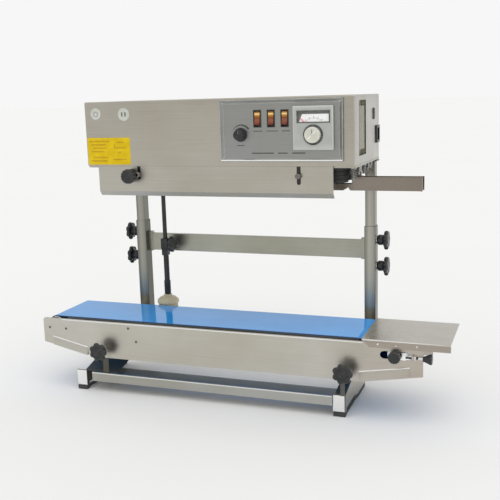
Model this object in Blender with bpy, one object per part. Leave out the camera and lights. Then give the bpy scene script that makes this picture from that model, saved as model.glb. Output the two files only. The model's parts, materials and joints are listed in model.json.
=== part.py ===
"""Continuous band sealer, vertical type: a sealing head on two telescopic posts above a belt conveyor.

Metres, +Z up, the machine's length along X, its control side facing -Y. The origin is the middle of
the machine's footprint on the floor. Bags stand on the belt and travel towards -X.
"""

from math import acos, atan2, cos, pi, radians, sin, sqrt

import bmesh
import bpy
from mathutils import Vector

for item in list(bpy.data.objects):
    bpy.data.objects.remove(item, do_unlink=True)


def mm(*values):
    """Millimetres to metres: one number, or a tuple of several."""
    scaled = tuple(value * 0.001 for value in values)
    return scaled[0] if len(scaled) == 1 else scaled


# Driving dimensions
GAP = mm(0.3)  # what touching pieces keep between them
SHEET = mm(1.5)  # stainless sheet of the covers and side plates
CONVEYOR_Y = mm(-86.5, 48.5)  # outer faces of the conveyor's side plates
CONVEYOR_X = mm(-420, 371.5)
PLATE_TOP = mm(152)
PLATE_BOTTOM = mm(74.5)
BELT_TOP = mm(157)
BELT_THICK = mm(2)
BELT_Y = mm(-83, 45)
BED_X = mm(-363, 254.5)
TRAY_X = mm(261, 420)
TRAY_TOP = mm(158)
BASE_TOP = mm(41)
HEAD_X = mm(-282.7, 252.1)
HEAD_Y = mm(-94.5, 116.5)
HEAD_Z = mm(471, 593.4)
GUARD_X = mm(-260.2, 212.1)
GUARD_BOTTOM = mm(412.4)
POST_X = {"left": mm(-270), "right": mm(239.3)}
POST_Y = mm(100)
POST_TOP = mm(466.7)
TUBE_TOP = mm(335)
TUBE_SIZE = mm(22.5, 24)
CROSSBAR_Z = mm(267.6, 305)
SHAFT_XY = mm(-204.3, 72)  # vertical drive shaft
ROLLER_AXIS_Z = mm(127.5)  # drive roller, and the crossing point of the bevel gears
SEAL_Y = mm(-24.5)  # the line along which bags are sealed
WHEEL_R = mm(20)
WHEEL_OFFSET = mm(21.7)  # from the sealing line to a wheel's axis
DRIVE_WHEEL_X = mm(-225)
DRIVEN_WHEEL_X = mm(165)
PULLEY_X = mm(208)
WHEEL_Z = mm(441, 455)


# Materials
def material(name, colour, roughness, metallic=0.0):
    made = bpy.data.materials.new(name)
    made.use_nodes = True
    shader = made.node_tree.nodes["Principled BSDF"]
    shader.inputs["Base Color"].default_value = (*colour, 1.0)
    shader.inputs["Roughness"].default_value = roughness
    shader.inputs["Metallic"].default_value = metallic
    made.diffuse_color = (*colour, 1.0)
    return made


STAINLESS = material("stainless", (0.52, 0.50, 0.46), 0.38, 1.0)
CHROME = material("chrome", (0.75, 0.75, 0.74), 0.15, 1.0)
PANEL_GREY = material("panel_grey", (0.33, 0.33, 0.32), 0.45, 0.6)
BLACK_PLASTIC = material("black_plastic", (0.02, 0.02, 0.02), 0.4)
BLACK_RUBBER = material("black_rubber", (0.025, 0.025, 0.025), 0.8)
BELT_BLUE = material("belt_blue", (0.16, 0.42, 0.78), 0.25)
NYLON = material("nylon", (0.72, 0.66, 0.48), 0.5)
IVORY = material("ivory_plastic", (0.78, 0.78, 0.74), 0.4)
CASE_GREY = material("case_grey", (0.50, 0.52, 0.50), 0.5)
AMBER = material("amber_plastic", (0.80, 0.33, 0.08), 0.3)
RED = material("red_paint", (0.7, 0.03, 0.02), 0.4)
STEEL = material("dark_steel", (0.18, 0.18, 0.18), 0.4, 1.0)
COPPER = material("copper", (0.72, 0.40, 0.25), 0.35, 1.0)
ALUMINIUM = material("aluminium", (0.72, 0.73, 0.74), 0.4, 1.0)
BAND_BROWN = material("band_brown", (0.33, 0.23, 0.14), 0.5)


# Shape tools: an axis letter says which way a shape runs. Outlines across X hold (y, z), across Y
# (x, z) and across Z (x, y).
def point(axis, along, u, v):
    return Vector({"X": (along, u, v), "Y": (u, along, v), "Z": (u, v, along)}[axis])


def loft(rings, loop=False):
    """A skin over rings of equal length, closed by end caps or, as a loop, back onto itself."""
    bm = bmesh.new()
    made = [[bm.verts.new(p) for p in ring] for ring in rings]
    pairs = list(zip(made, made[1:]))
    if loop:
        pairs.append((made[-1], made[0]))
    for a, b in pairs:
        for i, corner in enumerate(a):
            j = (i + 1) % len(a)
            bm.faces.new((corner, a[j], b[j], b[i]))
    if not loop:
        bm.faces.new(made[0])
        bm.faces.new(made[-1])
    bmesh.ops.recalc_face_normals(bm, faces=bm.faces)
    return bm


def prism(outline, axis, low, high):
    return loft([[point(axis, along, u, v) for u, v in outline] for along in (low, high)])


def block(x, y, z):
    return prism([(x[0], y[0]), (x[1], y[0]), (x[1], y[1]), (x[0], y[1])], "Z", z[0], z[1])


def circle(radius, steps, centre=(0.0, 0.0), turn=0.0):
    angles = [turn + 2 * pi * i / steps for i in range(steps)]
    return [(centre[0] + radius * cos(a), centre[1] + radius * sin(a)) for a in angles]


def turned(profile, axis, centre, steps=24, loop=False):
    """A lathe shape from (along, radius) pairs; a loop profile makes a tube."""
    rings = [
        [point(axis, along, u, v) for u, v in circle(radius, steps, centre)]
        for along, radius in profile
    ]
    return loft(rings, loop)


def rectangle(centre, size, axis, along):
    half_u, half_v = size[0] / 2, size[1] / 2
    corners = ((-half_u, -half_v), (half_u, -half_v), (half_u, half_v), (-half_u, half_v))
    return [point(axis, along, centre[0] + u, centre[1] + v) for u, v in corners]


def square_tube(centre, size, wall, z):
    inner = (size[0] - 2 * wall, size[1] - 2 * wall)
    rings = [rectangle(centre, size, "Z", z[0]), rectangle(centre, size, "Z", z[1])]
    rings += [rectangle(centre, inner, "Z", z[1]), rectangle(centre, inner, "Z", z[0])]
    return loft(rings, loop=True)


def slot(axis, centre, length, width, low, high, steps=6):
    """A round-ended slot along the outline's first direction."""
    half = (length - width) / 2
    ends = []
    for side, start in ((1, -pi / 2), (-1, pi / 2)):
        for i in range(steps + 1):
            angle = start + pi * i / steps
            across = centre[0] + side * half + width / 2 * cos(angle)
            ends.append((across, centre[1] + width / 2 * sin(angle)))
    return prism(ends, axis, low, high)


def lobed(axis, centre, stations, lobes=7, per_lobe=6):
    """A knob from (along, radius, lobe depth) stations, its lobes fading with the depth."""
    steps = lobes * per_lobe
    rings = []
    for along, radius, depth in stations:
        ring = []
        for i in range(steps):
            angle = 2 * pi * i / steps
            reach = radius - depth * (0.5 - 0.5 * cos(lobes * angle))
            u, v = centre[0] + reach * cos(angle), centre[1] + reach * sin(angle)
            ring.append(point(axis, along, u, v))
        rings.append(ring)
    return loft(rings)


# Objects
def add(name, bm, look, origin=(0.0, 0.0, 0.0), parent=None, smooth=False):
    origin = Vector(origin)
    bmesh.ops.translate(bm, verts=bm.verts, vec=-origin)
    mesh = bpy.data.meshes.new(name)
    bm.to_mesh(mesh)
    bm.free()
    if smooth:
        mesh.shade_smooth()
        mesh.set_sharp_from_angle(angle=radians(35))
    obj = bpy.data.objects.new(name, mesh)
    bpy.context.scene.collection.objects.link(obj)
    if look:
        mesh.materials.append(look)
    obj.parent = parent
    obj.location = origin - (parent.location if parent else Vector())
    return obj


def combine(obj, operation, shapes):
    """Booleans with hidden helper shapes given in world places."""
    for shape in shapes:
        helper = add(f"helper_{obj.name}_{len(obj.modifiers)}", shape, None)
        helper.hide_render = True
        helper.display_type = "WIRE"
        step = obj.modifiers.new(f"{operation.lower()}_{len(obj.modifiers)}", "BOOLEAN")
        step.operation = operation
        step.solver = "EXACT"
        step.object = helper
    return obj


def cut(obj, *shapes):
    return combine(obj, "DIFFERENCE", shapes)


def join(obj, *shapes):
    return combine(obj, "UNION", shapes)


def star_knob(name, axis, centre, face, outwards, parent=None):
    """A star grip on a hub whose flat end stands at face; outwards is +1 or -1 along the axis."""
    heights = mm(0.4, 14.5, 16, 18, 22, 24)
    radii = mm(6.5, 7.5, 17, 19.5, 19.5, 16)
    depths = mm(0, 0, 3.2, 3.8, 3.8, 3)
    stations = [(face + outwards * h, r, d) for h, r, d in zip(heights, radii, depths)]
    origin = point(axis, face, *centre)
    return add(name, lobed(axis, centre, stations), BLACK_PLASTIC, origin, parent, smooth=True)


# The stand: base bar, end brackets and rubber feet
BAR_X = mm(-311, 203.7)
BAR_Y = mm(-86.5, -46.5)
BRACKET_X = {"left": mm(-349, -326), "right": mm(204, 228)}
SHELF_X = {"left": mm(-328, -252), "right": mm(208, 228)}
EAR_X = {"left": mm(-284, -271), "right": mm(219, 240)}
EAR_FOOT_X = {"left": mm(-284, -271), "right": mm(219, 227.7)}
KNOB_XZ = {"left": mm(-277.5, 94.2), "right": mm(230, 94.2)}
SLOPE = [mm(-81.5, 43), mm(-16.5, 60), mm(13.5, 73.8), mm(88.5, 73.8)]


def bracket_side(x):
    """The upright plate along the machine's depth: a low arch below, the slope on top."""
    outline = [mm(-81.5, 8.3), mm(-76, 8.3), mm(-72, 14), mm(-12, 15), mm(20, 8.3), mm(94, 8.3)]
    return prism(outline + SLOPE[::-1], "X", x[0], x[1])


def build_base():
    bar = add("base_bar", block(BAR_X, BAR_Y, (mm(21), BASE_TOP)), STAINLESS)
    inside = block(
        (BAR_X[0] - mm(5), BAR_X[1] + mm(5)),
        (BAR_Y[0] + SHEET, BAR_Y[1] - SHEET),
        (mm(15), BASE_TOP - SHEET),
    )
    cut(bar, inside)
    for side in ("left", "right"):
        low, high = BRACKET_X[side]
        bracket = add(f"base_bracket_{side}", bracket_side((high - SHEET, high)), STAINLESS)
        front = block((low, high - mm(0.5)), mm(-81.5, -80), mm(8.3, 42))
        shelf = SLOPE + [(y, z - SHEET) for y, z in SLOPE[::-1]]
        join(bracket, front, prism(shelf, "X", *SHELF_X[side]))
        ear_y = mm(-84.7, -83.2)
        ear_foot = block(EAR_FOOT_X[side], mm(-84.7, -80.5), mm(41.6, 43.2))
        ear = block(EAR_FOOT_X[side], ear_y, mm(41.6, 106))
        join(bracket, ear_foot, ear, block(EAR_X[side], ear_y, mm(77, 106)))
        cut(bracket, turned([(mm(-90), mm(4.5)), (mm(-75), mm(4.5))], "Y", KNOB_XZ[side], 16))
        pad = block((low + mm(1), high), mm(-84, -72), mm(0, 8))
        foot = add(f"rubber_foot_{side}", pad, BLACK_RUBBER)
        rail = block((high - mm(6), high), mm(-73, 40), mm(2, 8))
        rear = block((high - mm(12), high), mm(18, 91), mm(0, 8))
        join(foot, rail, rear)


def build_front_knobs():
    for side, centre in KNOB_XZ.items():
        knob = star_knob(f"front_knob_{side}", "Y", centre, CONVEYOR_Y[0] - mm(5.5), -1)
        bolt = turned([(mm(-79), mm(3.9)), (mm(-96), mm(3.9))], "Y", centre, 16)
        join(knob, bolt)


# The conveyor
ROD_YZ = mm(-88.9, 128)  # the tension screw's axis, close in front of the side plate
NOSE = (*mm(-387.7, 136.7), mm(18))
TENSION = (*mm(322, 129.5), mm(16))
BED_END = (mm(252), BELT_TOP - BELT_THICK - GAP - mm(4), mm(4))
DRIVE_R = mm(10)


def belt_path(grow, arc_steps=10):
    """The tight loop round the nose roller, the bed's end and the tension roller, grown outwards."""
    wheels = [NOSE, BED_END, TENSION]
    normals = []
    for (x1, z1, r1), (x2, z2, r2) in zip(wheels, wheels[1:] + wheels[:1]):
        dx, dz = x2 - x1, z2 - z1
        span = sqrt(dx * dx + dz * dz)
        normals.append(atan2(dz, dx) + acos((r1 - r2) / span))
    path = []
    for i, (x, z, radius) in enumerate(wheels):
        start, end = normals[i - 1], normals[i]
        while start < end:
            start += 2 * pi
        steps = max(2, int(arc_steps * (start - end) / pi))
        for k in range(steps + 1):
            angle = start + (end - start) * k / steps
            reach = radius + grow
            path.append((x + reach * cos(angle), z + reach * sin(angle)))
    return path


LIPS = (mm(-397, 112, -316, 94.5, 17), mm(255, 93.5, 348, 108.6, 17.5))  # crease ends and drop


def side_plate(front):
    outer, sign = (CONVEYOR_Y[0], 1) if front else (CONVEYOR_Y[1], -1)
    x0, x1 = CONVEYOR_X
    if not front:
        x0 += mm(15.5)
    outline = [(x0, mm(99)), (mm(-287), PLATE_BOTTOM), (mm(261), PLATE_BOTTOM), (x1, mm(93))]
    outline += [(x1, PLATE_TOP), (x0 + mm(6), PLATE_TOP), (x0 + mm(1.5), mm(150)), (x0, mm(146))]
    faces = sorted((outer, outer + sign * SHEET))
    name = "side_plate_front" if front else "side_plate_rear"
    plate = add(name, prism(outline, "Y", *faces), STAINLESS)
    flange = sorted((outer + sign * mm(0.5), outer + sign * mm(12)))
    join(plate, block(BED_X, flange, (PLATE_TOP - SHEET, PLATE_TOP)))
    for x_a, z_a, x_b, z_b, drop in LIPS:
        join(plate, folded_lip(x_a, z_a, x_b, z_b, drop, outer, sign))
    cut(plate, slot("Y", mm(322.3, 129.5), mm(57), mm(14.2), outer - mm(5), outer + mm(5)))
    return plate


def folded_lip(x_a, z_a, x_b, z_b, drop, outer, sign):
    """The sloping lower edge, folded outwards below its crease."""
    inner = outer + sign * mm(0.7)
    lean = outer - sign * mm(3)
    rings = []
    for x, z in ((x_a, z_a), (x_b, z_b)):
        rings.append([Vector((x, inner, z)), Vector((x, lean, z - drop)), Vector((x, inner, z - drop))])
    return loft(rings)


def roller(name, wheel, steps=24):
    x, z, radius = wheel
    y0, y1 = CONVEYOR_Y[0] + SHEET + GAP, CONVEYOR_Y[1] - SHEET - GAP
    face = (BELT_Y[0] - mm(1), BELT_Y[1] + mm(1))
    profile = [(y0, mm(4)), (face[0], mm(4)), (face[0], radius), (face[1], radius)]
    profile += [(face[1], mm(4)), (y1, mm(4))]
    return add(name, turned(profile, "Y", (x, z), steps), ALUMINIUM, (x, 0.0, z), smooth=True)


BEVEL_TEETH = 16
BEVEL_PITCH = mm(20.5)  # pitch radius at the large end


def bevel_rings(angle_on_tooth, large, small):
    """Two tooth rings of a 45 degree bevel gear, as (height from the apex, outline) pairs."""
    rings = []
    for reach in (large, small):
        length = reach * sqrt(2)
        ring = []
        for tooth in range(BEVEL_TEETH):
            middle = angle_on_tooth + 2 * pi * tooth / BEVEL_TEETH
            pitch = 2 * pi / BEVEL_TEETH
            for share, lean in ((-0.25, -6.0), (-0.13, 3.0), (0.13, 3.0), (0.25, -6.0)):
                cone = radians(45 + lean)
                at = middle + share * pitch
                radius = length * sin(cone)
                ring.append((length * cos(cone), radius * cos(at), radius * sin(at)))
        rings.append(ring)
    return rings


def bevel_gear(axis, centre, apex, outwards, tooth_angle, hub):
    """A bevel gear whose teeth face the apex; hub stations are (height from the apex, radius)."""
    rings = []
    for ring in reversed(bevel_rings(tooth_angle, BEVEL_PITCH, mm(13))):
        rings.append(
            [point(axis, apex + outwards * h, centre[0] + u, centre[1] + v) for h, u, v in ring]
        )
    steps = BEVEL_TEETH * 4
    turn = tooth_angle - 0.25 * 2 * pi / BEVEL_TEETH
    for height, radius in hub:
        outline = circle(radius, steps, centre, turn)
        rings.append([point(axis, apex + outwards * height, u, v) for u, v in outline])
    return loft(rings)


def build_conveyor():
    front, rear = side_plate(True), side_plate(False)
    for centre in KNOB_XZ.values():
        cut(front, turned([(mm(-95), mm(4.6)), (mm(-80), mm(4.6))], "Y", centre, 16))
    join(front, block(mm(352, 355.5), (CONVEYOR_Y[0] - mm(6), CONVEYOR_Y[0] + mm(0.6)), mm(123, 133)))
    cut(front, turned([(mm(345), mm(2.25)), (mm(360), mm(2.25))], "X", ROD_YZ, 20))
    drive_x = SHAFT_XY[0]
    hole = turned([(mm(40), mm(5.6)), (mm(60), mm(5.6))], "Y", (drive_x, ROLLER_AXIS_Z), 16)
    cut(rear, hole)
    shelf_x = (drive_x - mm(12), drive_x + mm(12))
    shelf = block(shelf_x, (CONVEYOR_Y[1] - mm(1), SHAFT_XY[1] + mm(12)), mm(88, 94))
    join(rear, shelf)
    cut(rear, turned([(mm(80), mm(3.6)), (mm(100), mm(3.6))], "Z", SHAFT_XY, 16))
    bed = block(BED_X, (BELT_Y[0] + mm(1), BELT_Y[1] - mm(1)), mm(152.4, 154.6))
    add("bed_plate", bed, STAINLESS)
    outer = [point("Y", y, u, v) for y in BELT_Y for u, v in belt_path(GAP + BELT_THICK)]
    inner = [point("Y", y, u, v) for y in BELT_Y for u, v in belt_path(GAP)]
    half = len(outer) // 2
    loop = loft([outer[:half], outer[half:], inner[half:], inner[:half]], loop=True)
    add("conveyor_belt", loop, BELT_BLUE, smooth=True)
    roller("nose_roller", NOSE)
    build_drive_roller(drive_x)
    build_tension()
    build_tray()


def build_drive_roller(x):
    """The drive roller's axle passes the rear plate and carries the driven bevel gear."""
    obj = roller("drive_roller", (x, ROLLER_AXIS_Z, DRIVE_R))
    apex = SHAFT_XY[1]
    half_tooth = pi / 2 + pi / BEVEL_TEETH
    hub = [(mm(22.6), mm(16)), (mm(22.9), mm(5))]
    gear = bevel_gear("Y", (x, ROLLER_AXIS_Z), apex, -1, half_tooth, hub)
    axle = turned([(CONVEYOR_Y[1] - mm(6), mm(5)), (apex - mm(14), mm(5))], "Y", (x, ROLLER_AXIS_Z), 16)
    join(obj, axle, gear)


def build_tension():
    x, z, radius = TENSION
    y0, y1 = CONVEYOR_Y
    profile = [(BELT_Y[0] + mm(3.4), radius), (BELT_Y[1] - mm(3.4), radius)]
    profile += [(BELT_Y[1] - mm(3.4), mm(5.4)), (BELT_Y[0] + mm(3.4), mm(5.4))]
    shell = turned(profile, "Y", (x, z), 24, loop=True)
    add("tension_roller", shell, ALUMINIUM, (x, 0.0, z), smooth=True)
    slider = turned([(y0 + mm(0.4), mm(5)), (y1 - mm(0.4), mm(5))], "Y", (x, z), 16)
    slide = add("tension_slider", slider, STEEL, (x, 0.0, z))
    for y in ((y0 - mm(2.4), y0 + mm(3.2)), (y1 - mm(3.2), y1 + mm(2.4))):
        join(slide, block((x - mm(9), x + mm(19)), y, (z - mm(6.5), z + mm(6.5))))
    join(slide, block((x + mm(13.3), x + mm(19)), (y0 - mm(6), y0 + mm(2)), mm(123.5, 132.5)))
    cut(slide, turned([(x + mm(14), mm(2.15)), (x + mm(25), mm(2.15))], "X", ROD_YZ, 20))
    heights = mm(0.4, 5, 6, 13, 15)
    radii = mm(5, 6, 11.5, 11.5, 9)
    depths = mm(0, 0, 0.9, 0.9, 0.9)
    stations = [(y0 - mm(2.4) - h, r, d) for h, r, d in zip(heights, radii, depths)]
    knob = lobed("Y", (x, z), stations, lobes=12, per_lobe=4)
    add("tension_lock_knob", knob, BLACK_PLASTIC, (x, y0, z), smooth=True)


def build_tray():
    x0, x1 = TRAY_X
    y0, y1 = CONVEYOR_Y[0] - mm(3), CONVEYOR_Y[1] + mm(3)
    wall, low = mm(1.2), mm(142.5)
    outline = [(y0, low), (y0, TRAY_TOP), (y1, TRAY_TOP), (y1, low), (y1 - wall, low)]
    outline += [(y1 - wall, TRAY_TOP - wall), (y0 + wall, TRAY_TOP - wall), (y0 + wall, low)]
    tray = add("infeed_tray", prism(outline, "X", x0, x1), STAINLESS)
    corner = [(x0 - mm(1), low - mm(1)), (x0 + mm(15.5), low - mm(1)), (x0 - mm(1), TRAY_TOP - mm(2))]
    cut(tray, prism(corner, "Y", y0 - mm(5), y1 + mm(5)))
    rear_z = (low - mm(1), TRAY_TOP - wall)
    cut(tray, block((CONVEYOR_X[1], x1 + mm(1)), (y1 - mm(5), y1 + mm(1)), rear_z))


# Posts
def build_posts(head):
    upper_size = mm(19.5, 21)
    for side, sign in (("left", -1), ("right", 1)):
        x = POST_X[side]
        lower = square_tube((x, POST_Y), TUBE_SIZE, mm(1.2), (mm(80), TUBE_TOP))
        lower = add(f"lower_post_{side}", lower, STAINLESS)
        mount_y = (CONVEYOR_Y[1] + GAP, POST_Y - mm(11.4))
        join(lower, block((x - mm(14), x + mm(14)), mount_y, mm(84, 140)))
        for height in KNOB_HEIGHTS[side]:
            wall = sorted((x + sign * mm(7), x + sign * mm(14)))
            cut(lower, turned([(wall[0], mm(3.6)), (wall[1], mm(3.6))], "X", (POST_Y, height), 12))
        upper = square_tube((x, POST_Y), upper_size, mm(1.5), (mm(200), POST_TOP))
        upper = add(f"upper_post_{side}", upper, STAINLESS, parent=head)
        flange_y = (POST_Y - mm(14), POST_Y + mm(14))
        flange_z = (POST_TOP - mm(3), POST_TOP)
        join(upper, block((x - mm(14), x + mm(14)), flange_y, flange_z))
        for place, height in zip(("upper", "lower"), KNOB_HEIGHTS[side]):
            face = x + sign * (TUBE_SIZE[0] / 2 + GAP)
            knob = star_knob(f"post_knob_{side}_{place}", "X", (POST_Y, height), face, sign)
            reach = sorted((x + sign * mm(10.1), face + sign * mm(3)))
            join(knob, turned([(reach[0], mm(3)), (reach[1], mm(3))], "X", (POST_Y, height), 12))
    x0 = POST_X["left"] + TUBE_SIZE[0] / 2 + GAP
    x1 = POST_X["right"] - TUBE_SIZE[0] / 2 - GAP
    bar = add("post_crossbar", block((x0, x1), mm(101, 111), CROSSBAR_Z), STAINLESS)
    inside_z = (CROSSBAR_Z[0] + SHEET, CROSSBAR_Z[1] - SHEET)
    cut(bar, block((x0 + mm(2), x1 - mm(2)), mm(102.5, 115), inside_z))
    tab_z = (CROSSBAR_Z[0] - mm(2), CROSSBAR_Z[1] + mm(4))
    for tab_x in ((x0, x0 + mm(9)), (x1 - mm(9), x1)):
        join(bar, block(tab_x, mm(100, 111), tab_z))


KNOB_HEIGHTS = {"left": mm(309, 255), "right": mm(306.5, 253.6)}


# Vertical drive shaft
def build_drive_shaft(head):
    x, y = SHAFT_XY
    tube_r, bore = mm(5.8), mm(4.9)
    profile = [(mm(80), mm(3)), (mm(97), mm(3)), (mm(97), tube_r), (mm(176.6), tube_r)]
    profile += [(mm(176.6), mm(7)), (mm(206.8), mm(7)), (mm(206.8), tube_r), (mm(300.5), tube_r)]
    lower = add("lower_shaft", turned(profile, "Z", SHAFT_XY, 20), STEEL, (x, y, 0.0), smooth=True)
    join(lower, block((x - mm(7.8), x + mm(7.8)), (y - mm(8), y + mm(8)), mm(277, 300)))
    join(lower, block((x - mm(6.8), x + mm(6.8)), (y - mm(7), y + mm(7)), mm(263, 278)))
    cut(lower, turned([(mm(102), bore), (mm(305), bore)], "Z", SHAFT_XY, 20))
    upper = turned([(mm(200), mm(4.6)), (mm(515), mm(4.6))], "Z", SHAFT_XY, 20)
    add("upper_shaft", upper, STEEL, (x, y, 0.0), head, smooth=True)
    tooth = -pi / 2
    hub = [(mm(24), mm(21)), (mm(29), mm(21)), (mm(30), mm(23.5)), (mm(37), mm(23.5)), (mm(42), mm(17))]
    hub += [(mm(48.8), mm(8.5))]
    gear = bevel_gear("Z", SHAFT_XY, ROLLER_AXIS_Z, 1, tooth, hub)
    gear = add("bevel_gear", gear, NYLON, (x, y, ROLLER_AXIS_Z), smooth=True)
    cut(gear, turned([(mm(120), mm(6.1)), (mm(180), mm(6.1))], "Z", SHAFT_XY, 20))
    heights = mm(0.4, 1.8, 3.2, 5, 11.5, 13)
    radii = mm(5.5, 6.5, 15.5, 18, 18, 15)
    depths = mm(0, 0, 3, 3.4, 3.4, 3)
    stations = [(x + mm(7.8) + h, r, d) for h, r, d in zip(heights, radii, depths)]
    knob = lobed("X", (y, mm(288)), stations)
    add("shaft_lock_knob", knob, BLACK_PLASTIC, (x + mm(7.8), y, mm(288)), smooth=True)


# The sealing head
PANEL_X = mm(1.4, 232)
PANEL_Z = mm(479.5, 590.2)
PANEL_BACK = HEAD_Y[0] - GAP
CONTROLLER_X = mm(142, 215.3)
CONTROLLER_Z = mm(500, 577)
DIAL_XZ = mm(179.2, 526.5)
SPEED_XZ = mm(41.5, 527.8)
ROCKER_X = {"left": mm(74), "middle": mm(99.9), "right": mm(125.5)}
ROCKER_Z = mm(556)
ROCKER_SIZE = mm(10.4, 26.6)
VENT_Y = mm(-63.5, -5.5)
VENT_Z = mm(486, 584)
INLET_Y = mm(82, 110)
INLET_Z = mm(500.3, 534)


def build_head(head):
    housing = add("head_housing", block(HEAD_X, HEAD_Y, HEAD_Z), STAINLESS, parent=head)
    inner_x = (HEAD_X[0] + SHEET, HEAD_X[1] - SHEET)
    inner_y = (HEAD_Y[0] + SHEET, HEAD_Y[1] - SHEET)
    cut(housing, block(inner_x, inner_y, (HEAD_Z[0] - mm(10), HEAD_Z[1] - SHEET)))
    end = HEAD_X[1]
    pocket_y = (VENT_Y[0] - SHEET, VENT_Y[1] + SHEET)
    pocket_z = (VENT_Z[0] - SHEET, VENT_Z[1] + SHEET)
    join(housing, block((end - mm(8), end - mm(0.4)), pocket_y, pocket_z))
    cut(housing, block((end - mm(6.5), end + mm(5)), VENT_Y, VENT_Z))
    window_x = (PANEL_X[0] + mm(10), PANEL_X[1] - mm(10))
    window_z = (PANEL_Z[0] + mm(10), PANEL_Z[1] - mm(10))
    cut(housing, block(window_x, (HEAD_Y[0] - mm(5), HEAD_Y[0] + mm(5)), window_z))
    inlet_y = (INLET_Y[0] + mm(2), INLET_Y[1] - mm(2))
    cut(housing, block((end - mm(5), end + mm(5)), inlet_y, mm(503, 531)))
    end_y = HEAD_Y[1]
    for i in range(REAR_LOUVRES):
        x = mm(-190) + i * mm(16)
        cut(housing, block((x, x + mm(5)), (end_y - mm(5), end_y + mm(5)), mm(505, 560)))
    plate_y = (HEAD_Y[0] + mm(5.5), HEAD_Y[1])
    plate = add("head_base_plate", block(HEAD_X, plate_y, mm(467, 470.7)), STAINLESS, parent=head)
    wheel_x = (DRIVE_WHEEL_X, DRIVEN_WHEEL_X, PULLEY_X)
    holes = [(x, SEAL_Y + sign * WHEEL_OFFSET) for x in wheel_x for sign in (-1, 1)]
    for centre in holes + [SHAFT_XY]:
        cut(plate, turned([(mm(460), mm(6.5)), (mm(480), mm(6.5))], "Z", centre, 16))


REAR_LOUVRES = 8


def build_panel(head):
    face = PANEL_BACK
    rim = mm(7)
    plate = block(PANEL_X, (face - mm(2), face), PANEL_Z)
    panel = add("control_panel", plate, PANEL_GREY, parent=head)
    (x0, x1), (z0, z1) = PANEL_X, PANEL_Z
    corners = ((x0, z0, 1, 1), (x1, z0, -1, 1), (x1, z1, -1, -1), (x0, z1, 1, -1))
    stations = ((0.0, -mm(1)), (mm(0.6), -mm(4.6)), (mm(2.6), -mm(4.6)), (rim, -mm(1.6)), (rim, -mm(1)))
    rings = []
    for inset, y in stations:
        ring = [Vector((x + a * inset, face + y, z + b * inset)) for x, z, a, b in corners]
        rings.append(ring)
    join(panel, loft(rings, loop=True))
    case = block(mm(145, 212), (face - mm(9), face + mm(5)), mm(503.5, 572))
    cut(panel, case)
    for x in ROCKER_X.values():
        half = (ROCKER_SIZE[0] / 2, ROCKER_SIZE[1] / 2)
        bezel_x = (x - half[0] - mm(1.7), x + half[0] + mm(1.7))
        bezel_z = (ROCKER_Z - half[1] - mm(1.9), ROCKER_Z + half[1] + mm(1.9))
        join(panel, block(bezel_x, (face - mm(3.6), face - mm(1)), bezel_z))
        hole_x = (x - half[0] - mm(0.4), x + half[0] + mm(0.4))
        hole_z = (ROCKER_Z - half[1] - mm(0.8), ROCKER_Z + half[1] + mm(0.8))
        cut(panel, block(hole_x, (face - mm(6), face + mm(5)), hole_z))
    cut(panel, turned([(face - mm(5), mm(4)), (face + mm(5), mm(4))], "Y", SPEED_XZ, 16))
    build_controller(head, face - mm(2) - GAP)
    build_switches(head, face)


def build_controller(head, face):
    bezel = block(CONTROLLER_X, (face - mm(5.5), face), CONTROLLER_Z)
    case = add("temperature_controller", bezel, CASE_GREY, parent=head)
    join(case, block(mm(146, 211), (face - mm(1), face + mm(58)), mm(504.5, 571)))
    cut(case, block(mm(149, 210.4), (face - mm(10), face - mm(2)), mm(547, 569)))
    pivot = Vector((mm(179.7), face - mm(3.6), mm(535)))
    angle = radians(140)
    along = Vector((cos(angle), 0.0, sin(angle)))
    across = Vector((-sin(angle), 0.0, cos(angle)))
    rings = []
    for reach, half in ((mm(20.5), mm(0.7)), (mm(33), mm(0.45))):
        middle = pivot + along * reach
        thick = Vector((0.0, mm(0.3), 0.0))
        rings.append([middle + across * s * half + thick * t for s, t in QUARTERS])
    add("meter_needle", loft(rings), RED, pivot, head)
    front = face - mm(5.5) - GAP
    stations = [(0.0, mm(18), 0.0), (mm(1.6), mm(18), 0.0), (mm(1.7), mm(14.6), mm(0.5))]
    stations += [(mm(9), mm(14.3), mm(0.5)), (mm(10), mm(13), mm(0.5))]
    stations = [(front - h, r, d) for h, r, d in stations]
    dial = lobed("Y", DIAL_XZ, stations, lobes=12, per_lobe=4)
    add("temperature_dial", dial, IVORY, (DIAL_XZ[0], front, DIAL_XZ[1]), head, smooth=True)


QUARTERS = ((-1, -1), (1, -1), (1, 1), (-1, 1))


def build_switches(head, face):
    front = face - mm(2) - GAP
    stations = [(0.0, mm(12.6), 0.0), (mm(3), mm(12.4), 0.0), (mm(3.2), mm(10.6), mm(0.5))]
    stations += [(mm(14), mm(9.8), mm(0.5)), (mm(15), mm(8.8), mm(0.4))]
    stations = [(front - h, r, d) for h, r, d in stations]
    knob = lobed("Y", SPEED_XZ, stations, lobes=14, per_lobe=4)
    add("speed_knob", knob, BLACK_PLASTIC, (SPEED_XZ[0], front, SPEED_XZ[1]), head, smooth=True)
    for side, x in ROCKER_X.items():
        pivot = (x, face + mm(1.2), ROCKER_Z)
        corners = [mm(-7.8, -11.4), mm(-5, -0.6), mm(-4.2, 13.1), mm(3, 12), mm(4.5, 0), mm(3, -12)]
        outline = [(pivot[1] + y, pivot[2] + z) for y, z in corners]
        shape = prism(outline, "X", x - ROCKER_SIZE[0] / 2, x + ROCKER_SIZE[0] / 2)
        add(f"rocker_switch_{side}", shape, AMBER, pivot, head)


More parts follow.
